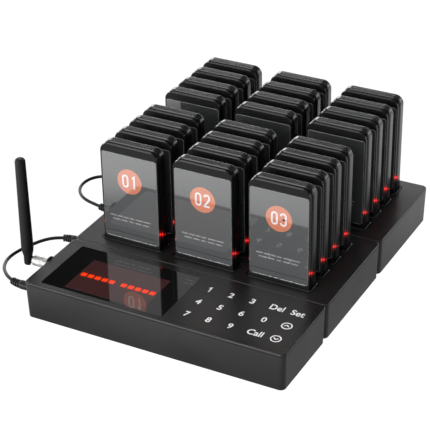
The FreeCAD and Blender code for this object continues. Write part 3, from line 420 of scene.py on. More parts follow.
class PAGERS_OT_housings(bpy.types.Operator):
    """Finish the host's and the docks' housings, and what stands inside them"""
    bl_idname = "pagers.housings"
    bl_label = "Housings"

    def execute(self, context):
        chosen = context.scene.pagers_housing
        # ABS, spark-eroded mould: a satin black whose fine grain spreads the highlights.
        dress([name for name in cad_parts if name.endswith(("_base", "_cover"))],
              "spark textured ABS", (chosen.case, chosen.case_worn), 45.0, (0.30, 0.38),
              chosen.grain / MM, 0.012, IOR=1.45)
        # Glass epoxy with solder mask: satin green with the weave just showing.
        dress(["main_board", "panel_board", "dock_1_board", "dock_2_board", "pager_01_board"],
              "solder masked glass epoxy", (chosen.board, 1.35), 9.0, (0.35, 0.45), 0.6, 0.01,
              IOR=1.5)
        # Natural rubber, moulded: dull black with a dusty bloom.
        dress(["rubber_feet", "antenna_washer"], "moulded rubber", ("#141415", "#1D1D1E"), 3.0,
              (0.55, 0.7), 0.5, 0.02, IOR=1.52)
        # Nylon, moulded: plain black socket bodies with a low sheen.
        dress(["link_sockets", "dc_inlet"], "moulded nylon", ("#101011", "#18181A"), 4.0,
              (0.35, 0.45), 0.5, 0.01, IOR=1.53)
        # Gold flash over nickel: warm metal, slightly brushed by wear.
        dress(["charging_pins", "antenna_jack", "pager_01_charge_pads"], GOLD,
              ("#C79A48", "#E0BC6A"), 1.5, (0.22, 0.35), 0.3, 0.004, Metallic=1.0)
        # Zinc plated steel: cool grey with a faint mottle.
        dress(["screws", "touch_springs", "pager_01_motor"], "zinc plated steel",
              ("#8A8C90", "#B4B6B9"), 2.0, (0.28, 0.42), 0.4, 0.005, Metallic=1.0)
        # Aluminium laminate: soft silver foil with small creases.
        dress(["pager_01_battery"], "laminated foil", ("#9C9EA1", "#C4C6C8"), 6.0, (0.3, 0.45),
              2.5, 0.05, Metallic=1.0)
        return {"FINISHED"}


# ---- display
DASH_GROUP = 20.95          # middle of a five-digit group from the middle of the field
FIELD_R, DASH_R = 0.6, 1.2  # corners of the red field and of a dash
FIELD_LEVELS = (TOP_Z - 0.3, TOP_Z + 0.02)      # bottom and top of the red field
DASH_LEVELS = (TOP_Z - 0.2, TOP_Z + 0.04)
THIN_EDGE = 0.02            # rounding of their upper edges
DASH_FADE = (0.15, 0.85)    # shares of a dash over which its core's colour turns to its rim's


class PAGERS_OT_display(bpy.types.Operator):
    """Build the smoked window, the red field and the ten lit dashes"""
    bl_idname = "pagers.display"
    bl_label = "Display"

    def execute(self, context):
        chosen = context.scene.pagers_display
        polish = {"IOR": 1.49, "Coat Weight": 1.0, "Coat Roughness": 0.02}
        # Acrylic, smoked and polished: nearly black, with mirror reflections from both faces.
        dress(["display_window"], "smoked polished acrylic", (chosen.window, 1.3), 60.0,
              (0.02, 0.03), 12.0, 0.0006, **polish)
        # Polycarbonate filter, dyed: dark red under the same polished face.
        field = dress(["red_filter"], "red filter film under acrylic", (chosen.field, 1.08), 25.0,
                      (0.02, 0.03), 12.0, 0.0006, **polish)
        # ABS, moulded: grey face of a digit module.
        dress(["display_modules"], "grey faced display module", ("#2B2B2C", "#343435"), 5.0,
              (0.4, 0.5), 0.6, 0.01, IOR=1.53)
        low = (chosen.field_left / MM, chosen.field_front / MM)
        high = (chosen.field_right / MM, chosen.field_rear / MM)
        plate = flat_plate(low, high, FIELD_R, *FIELD_LEVELS, THIN_EDGE)
        piece("red_field", [(*plate, 0)], [field], "base")
        middle = (low[0] + high[0]) / 2
        half = np.array([chosen.dash_width, chosen.dash_depth]) / 2 / MM
        parts = []
        for group in (-1, 1):
            for digit in range(-2, 3):
                x = middle + group * DASH_GROUP + digit * chosen.dash_pitch / MM
                centre = np.array([x, chosen.dash_y / MM])
                plate = flat_plate(centre - half, centre + half, DASH_R, *DASH_LEVELS, THIN_EDGE)
                parts.append((*plate, 0))
        lit = piece("lit_dashes", parts, [self.lit(chosen)], "base")
        # Only the window shows the dashes: the pagers' plates would mirror them just as bright.
        lit.visible_glossy = False
        return {"FINISHED"}

    def lit(self, chosen):
        """LED segment behind red film: orange where it is hottest, red at its rim."""
        material = bpy.data.materials.new("lit segment")
        tree = empty_tree(material)
        spot = add(tree, "ShaderNodeSeparateXYZ",
                   {"Vector": add(tree, "ShaderNodeTexCoord").outputs["Object"]})
        off = ("ABSOLUTE", ("SUBTRACT", spot.outputs["Y"], float(ORIGIN[1]) + chosen.dash_y))
        tone = blend(tree, ("DIVIDE", off, chosen.dash_depth / 2), DASH_FADE,
                     tuple(chosen.dash_core), tuple(chosen.dash))
        shader = add(tree, "ShaderNodeBsdfPrincipled", {
            "Base Color": linear("#300500"), "Roughness": 0.03, "IOR": 1.49, "Emission Color": tone,
            "Emission Strength": chosen.glow})
        add(tree, "ShaderNodeOutputMaterial", {"Surface": shader.outputs[0]})
        return material


# ---- keypad
LEGENDS = (     # text, key column, key row, width and height in millimetres, shift in x
    ("2", 1, 2, 4.7, 7.6, -0.1), ("3", 2, 2, 4.6, 7.6, -0.4),
    ("Del", 3, 2, 13.4, 8.0, 2.3), ("Set", 4, 2, 12.9, 8.0, 0.8),
    ("4", 0, 1, 5.0, 7.6, 0.0), ("5", 1, 1, 4.5, 7.6, -0.1), ("6", 2, 1, 4.7, 7.6, -0.4),
    ("0", 3, 1, 4.7, 7.6, -0.2),
    ("7", 0, 0, 4.6, 7.6, 0.0), ("8", 1, 0, 4.8, 7.6, -0.1), ("9", 2, 0, 4.7, 7.6, -0.4),
    ("Call", 3, 0, 14.8, 8.0, 2.1),
)
ONE = ((-1.8, 1.9), (0.2, 3.3), (0.2, -3.8))            # middle line of the 1, about its key
ARROW = ((-2.3, -1.1), (0.0, 1.2), (2.3, -1.1))         # and of the arrow up, about its ring
ARROW_SHIFT = 0.2       # how far to the right of its key a ring stands
LETTER_WEIGHT = 0.022           # fattens the letters to bold, as a share of their size
PRINT = (TOP_Z - 0.02, TOP_Z + 0.03)    # bottom and top of the printed legends


class PAGERS_OT_keypad(bpy.types.Operator):
    """Finish the touch keypad's film and print its legends"""
    bl_idname = "pagers.keypad"
    bl_label = "Keypad"

    def execute(self, context):
        chosen = context.scene.pagers_keypad
        # Polyester film, matt printed: a soft even black, duller than the moulding round it.
        dress(["keypad_overlay"], "matt printed polyester film", (chosen.film, 1.15), 30.0,
              (0.34, 0.40), 0.9, 0.006, IOR=1.47)
        # Screen print: opaque white ink, very slightly uneven.
        ink = finish("white screen print", (chosen.ink, 0.94), 1.2, (0.4, 0.5), 0.5, 0.004, IOR=1.5)

        def key(column, row):
            """Middle of a key, in millimetres."""
            return np.array([chosen.first_x + column * chosen.pitch_x,
                             chosen.first_y + row * chosen.pitch_y]) / MM

        parts = [self.letters(text, key(column, row) + (shift, 0.0), (width, height))
                 for text, column, row, width, height, shift in LEGENDS]
        stroke = chosen.stroke / MM
        parts.append(ribbon(key(0, 2) + ONE, stroke, *PRINT))
        for row, way in ((1, 1), (0, -1)):
            middle = key(4, row) + (ARROW_SHIFT, 0.0)
            ring = arc_profile(middle, (chosen.ring / MM - stroke) / 2, *CIRCLE)
            parts.append(ribbon(ring, stroke, *PRINT, closed=True))
            parts.append(ribbon(np.array(ARROW) * (1, way) + middle, stroke, *PRINT))
        piece("keypad_legends", [(*part, 0) for part in parts], [ink], "base")
        return {"FINISHED"}

    def letters(self, text, middle, size):
        """Bold letters: Blender's own outline font, fitted to a box about its middle."""
        curve = bpy.data.curves.new("letters", "FONT")
        curve.body, curve.offset, curve.resolution_u, curve.extrude = text, LETTER_WEIGHT, 4, 0.5
        holder = place("letters", curve)
        bpy.context.view_layer.update()
        graph = bpy.context.evaluated_depsgraph_get()
        mesh = bpy.data.meshes.new_from_object(holder.evaluated_get(graph))
        points = np.empty(len(mesh.vertices) * 3)
        mesh.vertices.foreach_get("co", points)
        points = points.reshape(-1, 3)
        faces = [list(face.vertices) for face in mesh.polygons]
        bpy.data.objects.remove(holder)
        bpy.data.meshes.remove(mesh)
        low, high = points.min(axis=0), points.max(axis=0)
        box = np.array([*size, PRINT[1] - PRINT[0]])
        return (points - low) / (high - low) * box + (*(middle - box[:2] / 2), PRINT[0]), faces


# ---- pagers
STROKE = 1.75           # line width of the badge numbers
DIGIT = (4.9, 11.6)     # width and height of a digit along its middle line
DIGIT_GAP = 2.0         # between the two figures' strokes


def digit_paths(figure):
    """Middle lines of a narrow figure, (path, closed) each: stems joined by half circles."""
    wide, tall = DIGIT
    r, half, low = wide / 2, tall / 2, -STROKE / 2

    def bow(height, start, end, radius=r, steps=12):
        """Arc that touches the figure's right side, about a middle at one height."""
        return arc_profile((wide - radius, height), radius, start, end, steps)

    top, foot = bow(tall - r, 180, 0), bow(r, 0, -180)
    shapes = {
        "0": [(True, top, foot)],
        "1": [(False, [(0.9, tall - 1.9), (3.1, tall), (3.1, low)])],
        "2": [(False, top, [(wide, tall - r - 1.0), (wide - 0.5, tall - r - 2.6), (0.1, 0.5),
                            (0.1, 0.0), (wide + 0.4, 0.0)])],
        "3": [(False, top, bow(half + 1.9, 0, -90, 1.9, 6), [(1.9, half)]),
              (False, [(1.9, half)], bow(half - 1.9, 90, 0, 1.9, 6), foot)],
        "4": [(False, [(wide - 1.2, low), (wide - 1.2, tall), (0.1, 3.2), (wide + 0.6, 3.2)])],
        "5": [(False, [(wide, tall), (0.4, tall), (0.2, half + 0.4), (1.2, half + 1.3)],
               bow(half - 0.9, 70, 0, steps=6), foot)],
        "6": [(False, bow(tall - r, 0, 180), [(0.0, r)]),
              (True, bow(half + 0.4 - r, 180, 0), foot)],
        "7": [(False, [(-0.3, tall), (wide, tall), (1.4, low)])],
        "8": [(True, top, bow(half + r, 0, -180)), (True, bow(half - r, 180, 0), foot)],
        "9": [(False, bow(r, 180, 360), [(wide, tall - r)]),
              (True, top, bow(half - 0.4 + r, 0, -180))],
    }
    return [(np.concatenate(path), closed) for closed, *path in shapes[figure]]


PRINTED, BADGE, FIGURE, FAINT, EDGE_WITH_PAINTED_SHEEN, BORDER, PAINTED_GLINT = range(7)   # a card's materials, in order
WORDS = (       # height of each faint print line above the foot, and start and end of its strokes
    (42.3, ((8.4, 14.6), (15.7, 21.9), (23.0, 27.6), (28.7, 33.6), (35.3, 43.0), (43.8, 51.2))),
    (38.6, ((10.7, 18.8), (20.1, 26.4), (28.3, 33.0), (34.9, 41.6), (43.0, 49.5))),
)
WORD_T = 1.3            # line width of their strokes
FACE_RADII = (3.0, 3.0, 8.5, 8.5)   # corners of the face, from the lower left one
CARD = (1.5, 19.3, 59.3, 107.6)     # left, low, right and high edges of the face plate
CARD_R = 2.6            # its corners
PLATE_FACE = 0.1        # depth of the clear plate's face behind the shell's
BADGE_UP, FIGURE_UP = (0.0, 0.03), (0.02, 0.05)     # bottoms and tops of the plate's prints
BORDER_T = 0.015        # half the thickness of the matt print round the card
BORDER_IN = 0.75        # its outer edge, in from the shell's outline
CARD_LIP = -0.3         # its inner edge and the recess's, out from the card
PAINTED_GLINT_UP, PAINTED_GLINT_T = 0.45, 0.6       # painted highlight along the plate's foot: height and width
RING = (2.4, 5.0)       # the light groove's front and rear walls, behind the face
RING_IN = 1.8           # depth of the groove
LEAD_SLOPE = (5.15, 6.8)            # start and end of the slope on the rear shell's front edge
# Sections, as (inset, depth) pairs: the card's recess, the clear plate, its rim, the light guide.
RECESS = ((0.0, 1.4), (0.0, 0.3), (-0.12, 0.08), (CARD_LIP, 0.0))
PLATE = ((0.55, PLATE_FACE), (0.1, 0.42), (0.1, 1.35))
PLATE_RIM = ((0.56, 0.095), (0.1, 0.41), (0.06, 0.41), (0.5, 0.06))
GUIDE = ((1.65, RING[0]), (1.5, RING[0] + 0.2), (1.5, RING[1] - 0.2), (1.65, RING[1]),
         (1.9, RING[1]), (1.9, RING[0]))
PADS = (-10.0, 10.0)    # charging pads' middles off the pager's
PAD_SIZE, PAD_R, PAD_EDGE = (6.0, 4.0, 0.4), 0.4, 0.1     # their box, corners and rounding
SIDE_GLOW = 2.2         # how far the red reaches in from each side
PAINTED_SHELL_RED, GUIDE_RED = 1.0, 3.0     # strength of the painted red glow on the shells, and of the lamp's red in the light guide
GLOW_AND_PAINTED_STREAKS = (             # lamp's glow in the guide and painted red reflections of it on the shells' ridges: depth, width, height off the lamp, length and share of each streak
    (0.8, 0.8, 1.2, 1.1, 1.9), (5.6, 0.8, -1.2, 1.0, 1.6), (9.8, 0.8, -3.2, 0.9, 0.6),
    (3.2, 1.4, 0.0, 0.8, 0.5), (7.8, 1.2, -2.2, 0.7, 0.2),
    (0.8, 0.5, 1.2, 3.0, 0.5), (5.6, 0.5, -1.2, 3.0, 0.4),
)


class PAGERS_OT_pagers(bpy.types.Operator):
    """Build the 24 pagers: shells, light ring, clear plate over its card, and charging pads"""
    bl_idname = "pagers.pagers"
    bl_label = "Pagers"

    def execute(self, context):
        chosen = context.scene.pagers_pager
        finishes = self.finishes(chosen)
        gold = [bpy.data.materials[GOLD]]
        for number, name in enumerate(PAGERS, 1):
            whole = name != "pager_01"
            foot = foot_of(name if whole else "pager_01_front_shell")
            spare = [name] if whole else ["pager_01_front_shell", "pager_01_rear_shell"]
            piece(name + "_shells", [(*self.shells(chosen, foot), 0)], finishes[:1], name,
                  spare, foot)
            piece(name + "_light_guide", [(*loft(self.on_outline(foot, GUIDE), wrap=True), 0)],
                  finishes[1:2], name, () if whole else ["pager_01_light_ring"], foot)
            piece(name + "_card", self.card(chosen, foot, "%02d" % number), finishes[2:], name,
                  () if whole else ["pager_01_face_plate"], foot)
            if whole:
                piece(name + "_pads", self.pads(foot), gold, name)
        return {"FINISHED"}

    def on_outline(self, foot, profile, low=(0.0, 0.0), high=PAGER_SIZE[::2], radii=FACE_RADII):
        """Loops of a profile (inset, depth behind the face) carried round a pager's outline."""
        profile = np.asarray(profile, float)
        plan = outline(low, high, radii, profile[:, 0])
        depth = np.repeat(profile[:, 1], plan.shape[1]).reshape(plan.shape[:2])
        return np.stack([plan[..., 0], depth, plan[..., 1]], -1) + foot

    def on_card(self, foot, profile):
        """Loops of a profile carried round the face plate's outline."""
        return self.on_outline(foot, profile, CARD[:2], CARD[2:], (CARD_R,) * 4)

    def shells(self, chosen, foot):
        """Front and rear shells: from the card's recess over the face's sloping edge, in and out of
        the light ring's groove, up the rear shell's slope and over its rear edge."""
        front, rear = chosen.front_edge / MM, chosen.rear_edge / MM
        profile = np.concatenate([
            [(front + 0.3, 0.0), (front + 0.1, 0.05), (front, 0.15), (0.1, RING[0] - 0.3),
             (0.1, RING[0] - 0.15), (0.25, RING[0]), (RING_IN, RING[0]), (RING_IN, RING[1]),
             (0.8, RING[1]), (0.6, LEAD_SLOPE[0]), (0.05, LEAD_SLOPE[1]),
             (0.0, LEAD_SLOPE[1] + 0.5)],
            arc_profile((rear, PAGER_SIZE[1] - rear), rear, 180, 90, 6),
        ])
        return loft(np.concatenate([self.on_card(foot, RECESS), self.on_outline(foot, profile)]))

    def card(self, chosen, foot, figures):
        """Clear plate over its card, with the badge, the figures and the faint print lines.

        A matt printed border fills the face round it, and a painted highlight runs along its foot.
        """
        border = [self.on_outline(foot, [(BORDER_IN, level)])[0] for level in (-BORDER_T, BORDER_T)]
        border += [self.on_card(foot, [(CARD_LIP, level)])[0] for level in (BORDER_T, -BORDER_T)]
        line = [(side, CARD[1] + PAINTED_GLINT_UP) for side in (CARD[0] + CARD_R, CARD[2] - CARD_R)]
        middle = np.array([PAGER_SIZE[0] / 2, chosen.badge_height / MM])
        disc = arc_profile(middle, chosen.badge_size / 2 / MM, *CIRCLE)
        badge = loft([np.hstack([disc, np.full((len(disc), 1), level)]) for level in BADGE_UP])
        sides = [(*loft(self.on_card(foot, PLATE)), PRINTED),
                 (*loft(self.on_card(foot, PLATE_RIM), wrap=True), EDGE_WITH_PAINTED_SHEEN),
                 (*loft(border, wrap=True), BORDER),
                 (*self.raised(foot, ribbon(line, PAINTED_GLINT_T, *BADGE_UP)), PAINTED_GLINT),
                 (*self.raised(foot, badge), BADGE)]
        corner = middle - (DIGIT[0] + (DIGIT_GAP + STROKE) / 2, DIGIT[1] / 2)
        for at, figure in enumerate(figures):
            for path, closed in digit_paths(figure):
                stem = path + corner + (at * (DIGIT[0] + STROKE + DIGIT_GAP), 0.0)
                ink = ribbon(stem, STROKE, *FIGURE_UP, closed)
                sides.append((*self.raised(foot, ink), FIGURE))
        for level, strokes in WORDS:
            for first, last in strokes:
                bar = ribbon([(first, level), (last, level)], WORD_T, *BADGE_UP)
                sides.append((*self.raised(foot, bar), FAINT))
        return sides

    def raised(self, foot, surface):
        """A print worked out in the face's plane, set on the clear plate."""
        points, faces = surface
        return np.stack([points[:, 0], PLATE_FACE - points[:, 2], points[:, 1]], -1) + foot, faces

    def pads(self, foot):
        """Two flat charging pads in the foot, with a rounded edge."""
        half = np.array(PAD_SIZE[:2]) / 2
        parts = []
        for side in PADS:
            middle = foot[:2] + (PAGER_SIZE[0] / 2 + side, PAGER_SIZE[1] / 2)
            levels = foot[2], foot[2] + PAD_SIZE[2]
            plate = flat_plate(middle - half, middle + half, PAD_R, *levels, PAD_EDGE)
            parts.append((*plate, 0))
        return parts

    def finishes(self, chosen):
        """Finishes of shells, light ring, card, badge, figures, print, edge, border and painted
        foot glint.
        """

        def red(power):
            """Sockets that give a finish the lamps' red: painted glow and reflections on the
            shells, the lamp's own glow in the guide.
            """
            return {"Emission Color": tuple(chosen.light),
                    "Emission Strength": lambda tree: self.side_light(tree, chosen, power)}

        # ABS, polished mould: black with a soft gloss and faint handling marks, and the lamps' red
        # glow and reflections painted onto its sides.
        shells = finish("semi gloss ABS", (chosen.shell, 1.25), 18.0, (0.24, 0.28), 1.1, 0.0006,
                        IOR=1.42, **red(PAINTED_SHELL_RED))
        # Acrylic light guide: its near-black tone is painted shade of the groove it sits in, until
        # the lamp behind it shines.
        guide = finish("dyed acrylic light guide", ("#0B0607", "#120809"), 6.0, (0.3, 0.4), 0.8,
                       0.002, IOR=1.2, **red(GUIDE_RED))
        # Card and its prints under a clear polished plate: flat tones with two mirror reflections.
        clear = {"IOR": 1.60, "Coat Weight": 1.0, "Coat Roughness": 0.02, "Coat IOR": 1.7}
        prints = [
            finish(name + " under acrylic", tones, patch, (0.04, 0.06), 14.0, 0.0008, **clear)
            for name, tones, patch in (
                ("printed card", (chosen.card, 1.06), 22.0),
                ("salmon print", (chosen.badge, 1.04), 6.0),
                ("white print", (chosen.ink, 0.97), 3.0),
                ("faint print", (chosen.faint, 0.6), 0.9))]
        # Acrylic, saw cut and polished: a grey line, partly the cut edge's own tone and partly
        # painted highlight where the plate's edge catches light.
        edge = finish("cut acrylic edge", (chosen.edge, 0.7), 4.0, (0.12, 0.2), 1.0, 0.004,
                      IOR=1.49)
        # Ink on the shell's face round the plate: dead black and matt.
        border = finish("matt black border print", ("#0C0C0D", "#101011"), 9.0, (0.45, 0.55), 0.9,
                        0.002, IOR=1.25)
        # Painted highlight: a pale, broken line laid on the plate along its foot stands in for the
        # glint there.
        painted_glint = finish("flame polished edge", ("#C8CACC", "#3C3E40"), 3.0, (0.1, 0.2), 1.0, 0.004,
                       IOR=1.49)
        return [shells, guide, *prints, edge, border, painted_glint]

    def side_light(self, tree, chosen, power):
        """Red light of the lamp in each side, a sum of products of bells over depth and height: the
        lamp's own glow in the guide, painted glow and reflections on the shells.

        The lamps stand alike on both sides, so places count from the pager's middle plane.
        """
        where = add(tree, "ShaderNodeAttribute", attribute_name="local_mm").outputs["Vector"]
        x, depth, height = add(tree, "ShaderNodeSeparateXYZ", {"Vector": where}).outputs
        middle = float(PAGER_SIZE[0]) / 2
        total = 0.0
        for at, wide, rise, tall, share in GLOW_AND_PAINTED_STREAKS:
            lamp = bell(height, chosen.light_height / MM + rise, tall)
            streak = ("MULTIPLY", ("MULTIPLY", bell(depth, at, wide), lamp), share * power)
            total = ("ADD", total, streak)
        aside = ("ABSOLUTE", ("SUBTRACT", x, middle))
        return ("MULTIPLY", total, bell(aside, middle, SIDE_GLOW))


# ---- antenna
ROD_FOOT, ROD_SIZE = foot_of("antenna_rod"), size_of("antenna_rod")
PIVOT = ROD_FOOT[:2] + ROD_SIZE[:2] / 2
ROD_TOP = ROD_FOOT[2] + ROD_SIZE[2]
HINGE_Z = 31.0          # the hinge pin above the counter
CHEEK_R = 4.15          # fork round the hinge
CHEEK_EDGE = 1.8        # rounding of its foot
CHEEK_TOP = 4.2         # its end above the hinge, inside the rod
SLOT_HALF = 1.75        # half the fork's slot
CHEEK_LEAST = 0.05      # least reach of a cheek beyond the slot
ROD_START = 3.8         # foot of the rod's swell above the hinge
ROD_LIP = 0.05          # how much lower the rod ends
ROD_SWELL = (1.6, 9.0)  # growth in radius above it, and over what height
ROD_MIDDLE = (5.3, 8.0)             # radius, and place above the middle
ROD_TIP_R, ROD_TIP_EDGE = 4.9, 3.0  # radius near the tip, and the tip's rounding
NUT_PROFILE = np.array([    # share of the way out from the wall, change of radius, knurled or plain
    (0.0, -2.0, 0), (0.0, -0.3, 0), (0.03, 0.0, 0), (0.22, 0.0, 0), (0.24, -0.2, 0),
    (0.27, -0.2, 0), (0.29, -0.1, 1), (0.32, 0.0, 1), (0.72, 0.0, 1), (0.75, -0.1, 1),
    (0.77, -0.2, 0), (0.80, -0.2, 0), (0.82, 0.0, 0), (0.96, 0.0, 0), (1.0, -0.4, 0),
    (1.0, -1.35, 0)])


class PAGERS_OT_antenna(bpy.types.Operator):
    """Build the hinged antenna's rod and its knurled nut"""
    bl_idname = "pagers.antenna"
    bl_label = "Antenna"

    def execute(self, context):
        chosen = context.scene.pagers_antenna
        # TPE sleeve, moulded: matt black with a broad soft highlight.
        sleeve = finish("moulded TPE sleeve", (chosen.rubber, 1.3), 14.0, (0.42, 0.52), 0.7, 0.008,
                        IOR=1.25)
        parts = [(*part, 0) for part in (self.rod(), self.cheek(-1), self.cheek(1))]
        piece("antenna_sleeve", parts, [sleeve], "antenna_rod", ["antenna_rod"])
        # Acetal, moulded: dark satin swivel.
        dress(["antenna_elbow"], "moulded acetal", ("#121214", "#1A1A1C"), 5.0, (0.3, 0.4), 0.6,
              0.006, IOR=1.48)
        # Brass, nickel plated and knurled: bright metal whose ridges break up the light.
        nickel = finish("nickel plated brass", (chosen.nickel, 0.88), 3.0, (0.50, 0.60), 0.4, 0.003,
                        Metallic=1.0)
        piece("antenna_nut_knurled", [(*self.nut(chosen), 0)], [nickel], "base",
              ["antenna_nut"], sharp=50.0)
        return {"FINISHED"}

    def rod(self):
        """Rod turned about its upright line: radius + swell * sin(t) at the foot, t to a quarter
        turn, then a long taper to a rounded tip."""
        tip = (ROD_TIP_R - ROD_TIP_EDGE, ROD_TOP - ROD_TIP_EDGE)
        share = np.linspace(0.0, 1.0, 9)
        swell = CHEEK_R + ROD_SWELL[0] * np.sin(share * math.pi / 2)
        profile = np.concatenate([
            [(CHEEK_R, HINGE_Z + ROD_START - ROD_LIP)],
            np.stack([swell, HINGE_Z + ROD_START + ROD_SWELL[1] * share], -1),
            [(ROD_MIDDLE[0], (HINGE_Z + ROD_TOP) / 2 + ROD_MIDDLE[1])],
            arc_profile(tip, ROD_TIP_EDGE, 0, 84, 8)])
        centres = np.column_stack([np.tile(PIVOT, (len(profile), 1)), profile[:, 1]])
        along = np.tile((0.0, 0.0, 1.0), (len(profile), 1))
        return loft(turned_tube(centres, along, profile[:, 0], side=(0.0, 1.0, 0.0)))

    def cheek(self, way):
        """One side of the fork: part of a disc beyond the slot, stacked up from a round foot."""
        foot = arc_profile((CHEEK_R - CHEEK_EDGE, ROD_FOOT[2] + CHEEK_EDGE), CHEEK_EDGE, -90, 0, 6)
        foot = np.concatenate([foot, [(CHEEK_R, HINGE_Z), (CHEEK_R, HINGE_Z + CHEEK_TOP)]])
        radii = np.maximum(foot[:, :1], SLOT_HALF + CHEEK_LEAST)
        start = np.arcsin(SLOT_HALF / radii)
        turn = start + (math.pi - 2 * start) * np.linspace(0, 1, 25)
        loops = np.stack([PIVOT[0] + radii * np.cos(turn), PIVOT[1] + way * radii * np.sin(turn),
                          np.broadcast_to(foot[:, 1:], turn.shape)], -1)
        return loft(loops)

    def nut(self, chosen):
        """Knurled nut: a turned profile; its radius ripples with cos(knurls * p) on the band."""
        low, size = foot_of("antenna_nut"), size_of("antenna_nut")
        count = len(NUT_PROFILE)
        centres = np.column_stack([low[0] + size[0] * (1 - NUT_PROFILE[:, 0]),
                                   np.tile(low[1:] + size[1:] / 2, (count, 1))])

        def ripple(turn):
            """Ridge height round the nut, on the knurled stations alone."""
            wave = 0.5 - 0.5 * np.cos(chosen.knurls * turn)
            return -chosen.knurl_depth / MM * NUT_PROFILE[:, 2:] * wave[None]

        along = np.tile((-1.0, 0.0, 0.0), (count, 1))
        radii = size[1] / 2 + NUT_PROFILE[:, 1]
        return loft(turned_tube(centres, along, radii, count=144, ripple=ripple))


# ---- link leads
LEADS = {       # name: wall y of both plugs, flex in degrees, which way each boot turns, route
    "link_cable_1": (11.7, 86.3 + 14.7, 22.0, (1, -1), (
        (0.166, -41.5, 23.6), (0.315, -49.3, 21.6), (0.461, -52.8, 20.4), (0.613, -51.8, 20.2),
        (0.759, -46.2, 21.2), (0.870, -39.5, 23.2))),
    "link_cable_2": (86.3 + 79.5, 207.2 + 14.7, 13.0, (1, 1), (
        (0.105, -42.5, 24.4), (0.242, -53.5, 23.8), (0.429, -61.5, 23.4), (0.652, -64.8, 23.4),
        (0.866, -62.0, 23.8), (1.014, -52.5, 24.4), (1.069, -41.8, 24.8))),
}
FIRST_RUN = 8.0         # straight start of a lead beyond its boot
PLUG_Z = 25.0           # middle of the plugs above the counter
PLUG_FACE = 0.09        # x of a plug's face against the wall
PLUG_LENGTH = 12.5
PLUG_PROFILE = np.array([   # distance out from the face, and radius
    (0.0, 4.2), (10.3, 4.2), (10.6, 3.95), (10.9, 3.95), (11.2, 4.15), (12.0, 3.9),
    (PLUG_LENGTH, 3.1)])
BOOT_LENGTH = 10.0
BOOT_X = PLUG_FACE - PLUG_LENGTH + 0.5      # where the boot starts, inside the plug
BOOT_ENDS = (2.9, 2.0)  # radius at its start and end
RIBS, RIB_END = 4, 0.9  # ribs on a boot, and where each ends in its share of the length
CLEAR = 0.05            # the boot shows from this far out of the plug's end
RIB_R, RIB_LESS = 3.85, 0.12        # radius of the first rib, and how much less each next one has
CORE_R, CORE_LESS = 2.1, 0.08       # the same between the ribs
RIB_PROFILE = np.array([    # place along the boot off the rib's end, on the rib or the core, bevel
    (-1.55, 0, 0.0), (-1.45, 1, 0.25), (-1.25, 1, 0.0), (-0.2, 1, 0.0), (0.0, 1, 0.25),
    (0.1, 0, 0.0)])


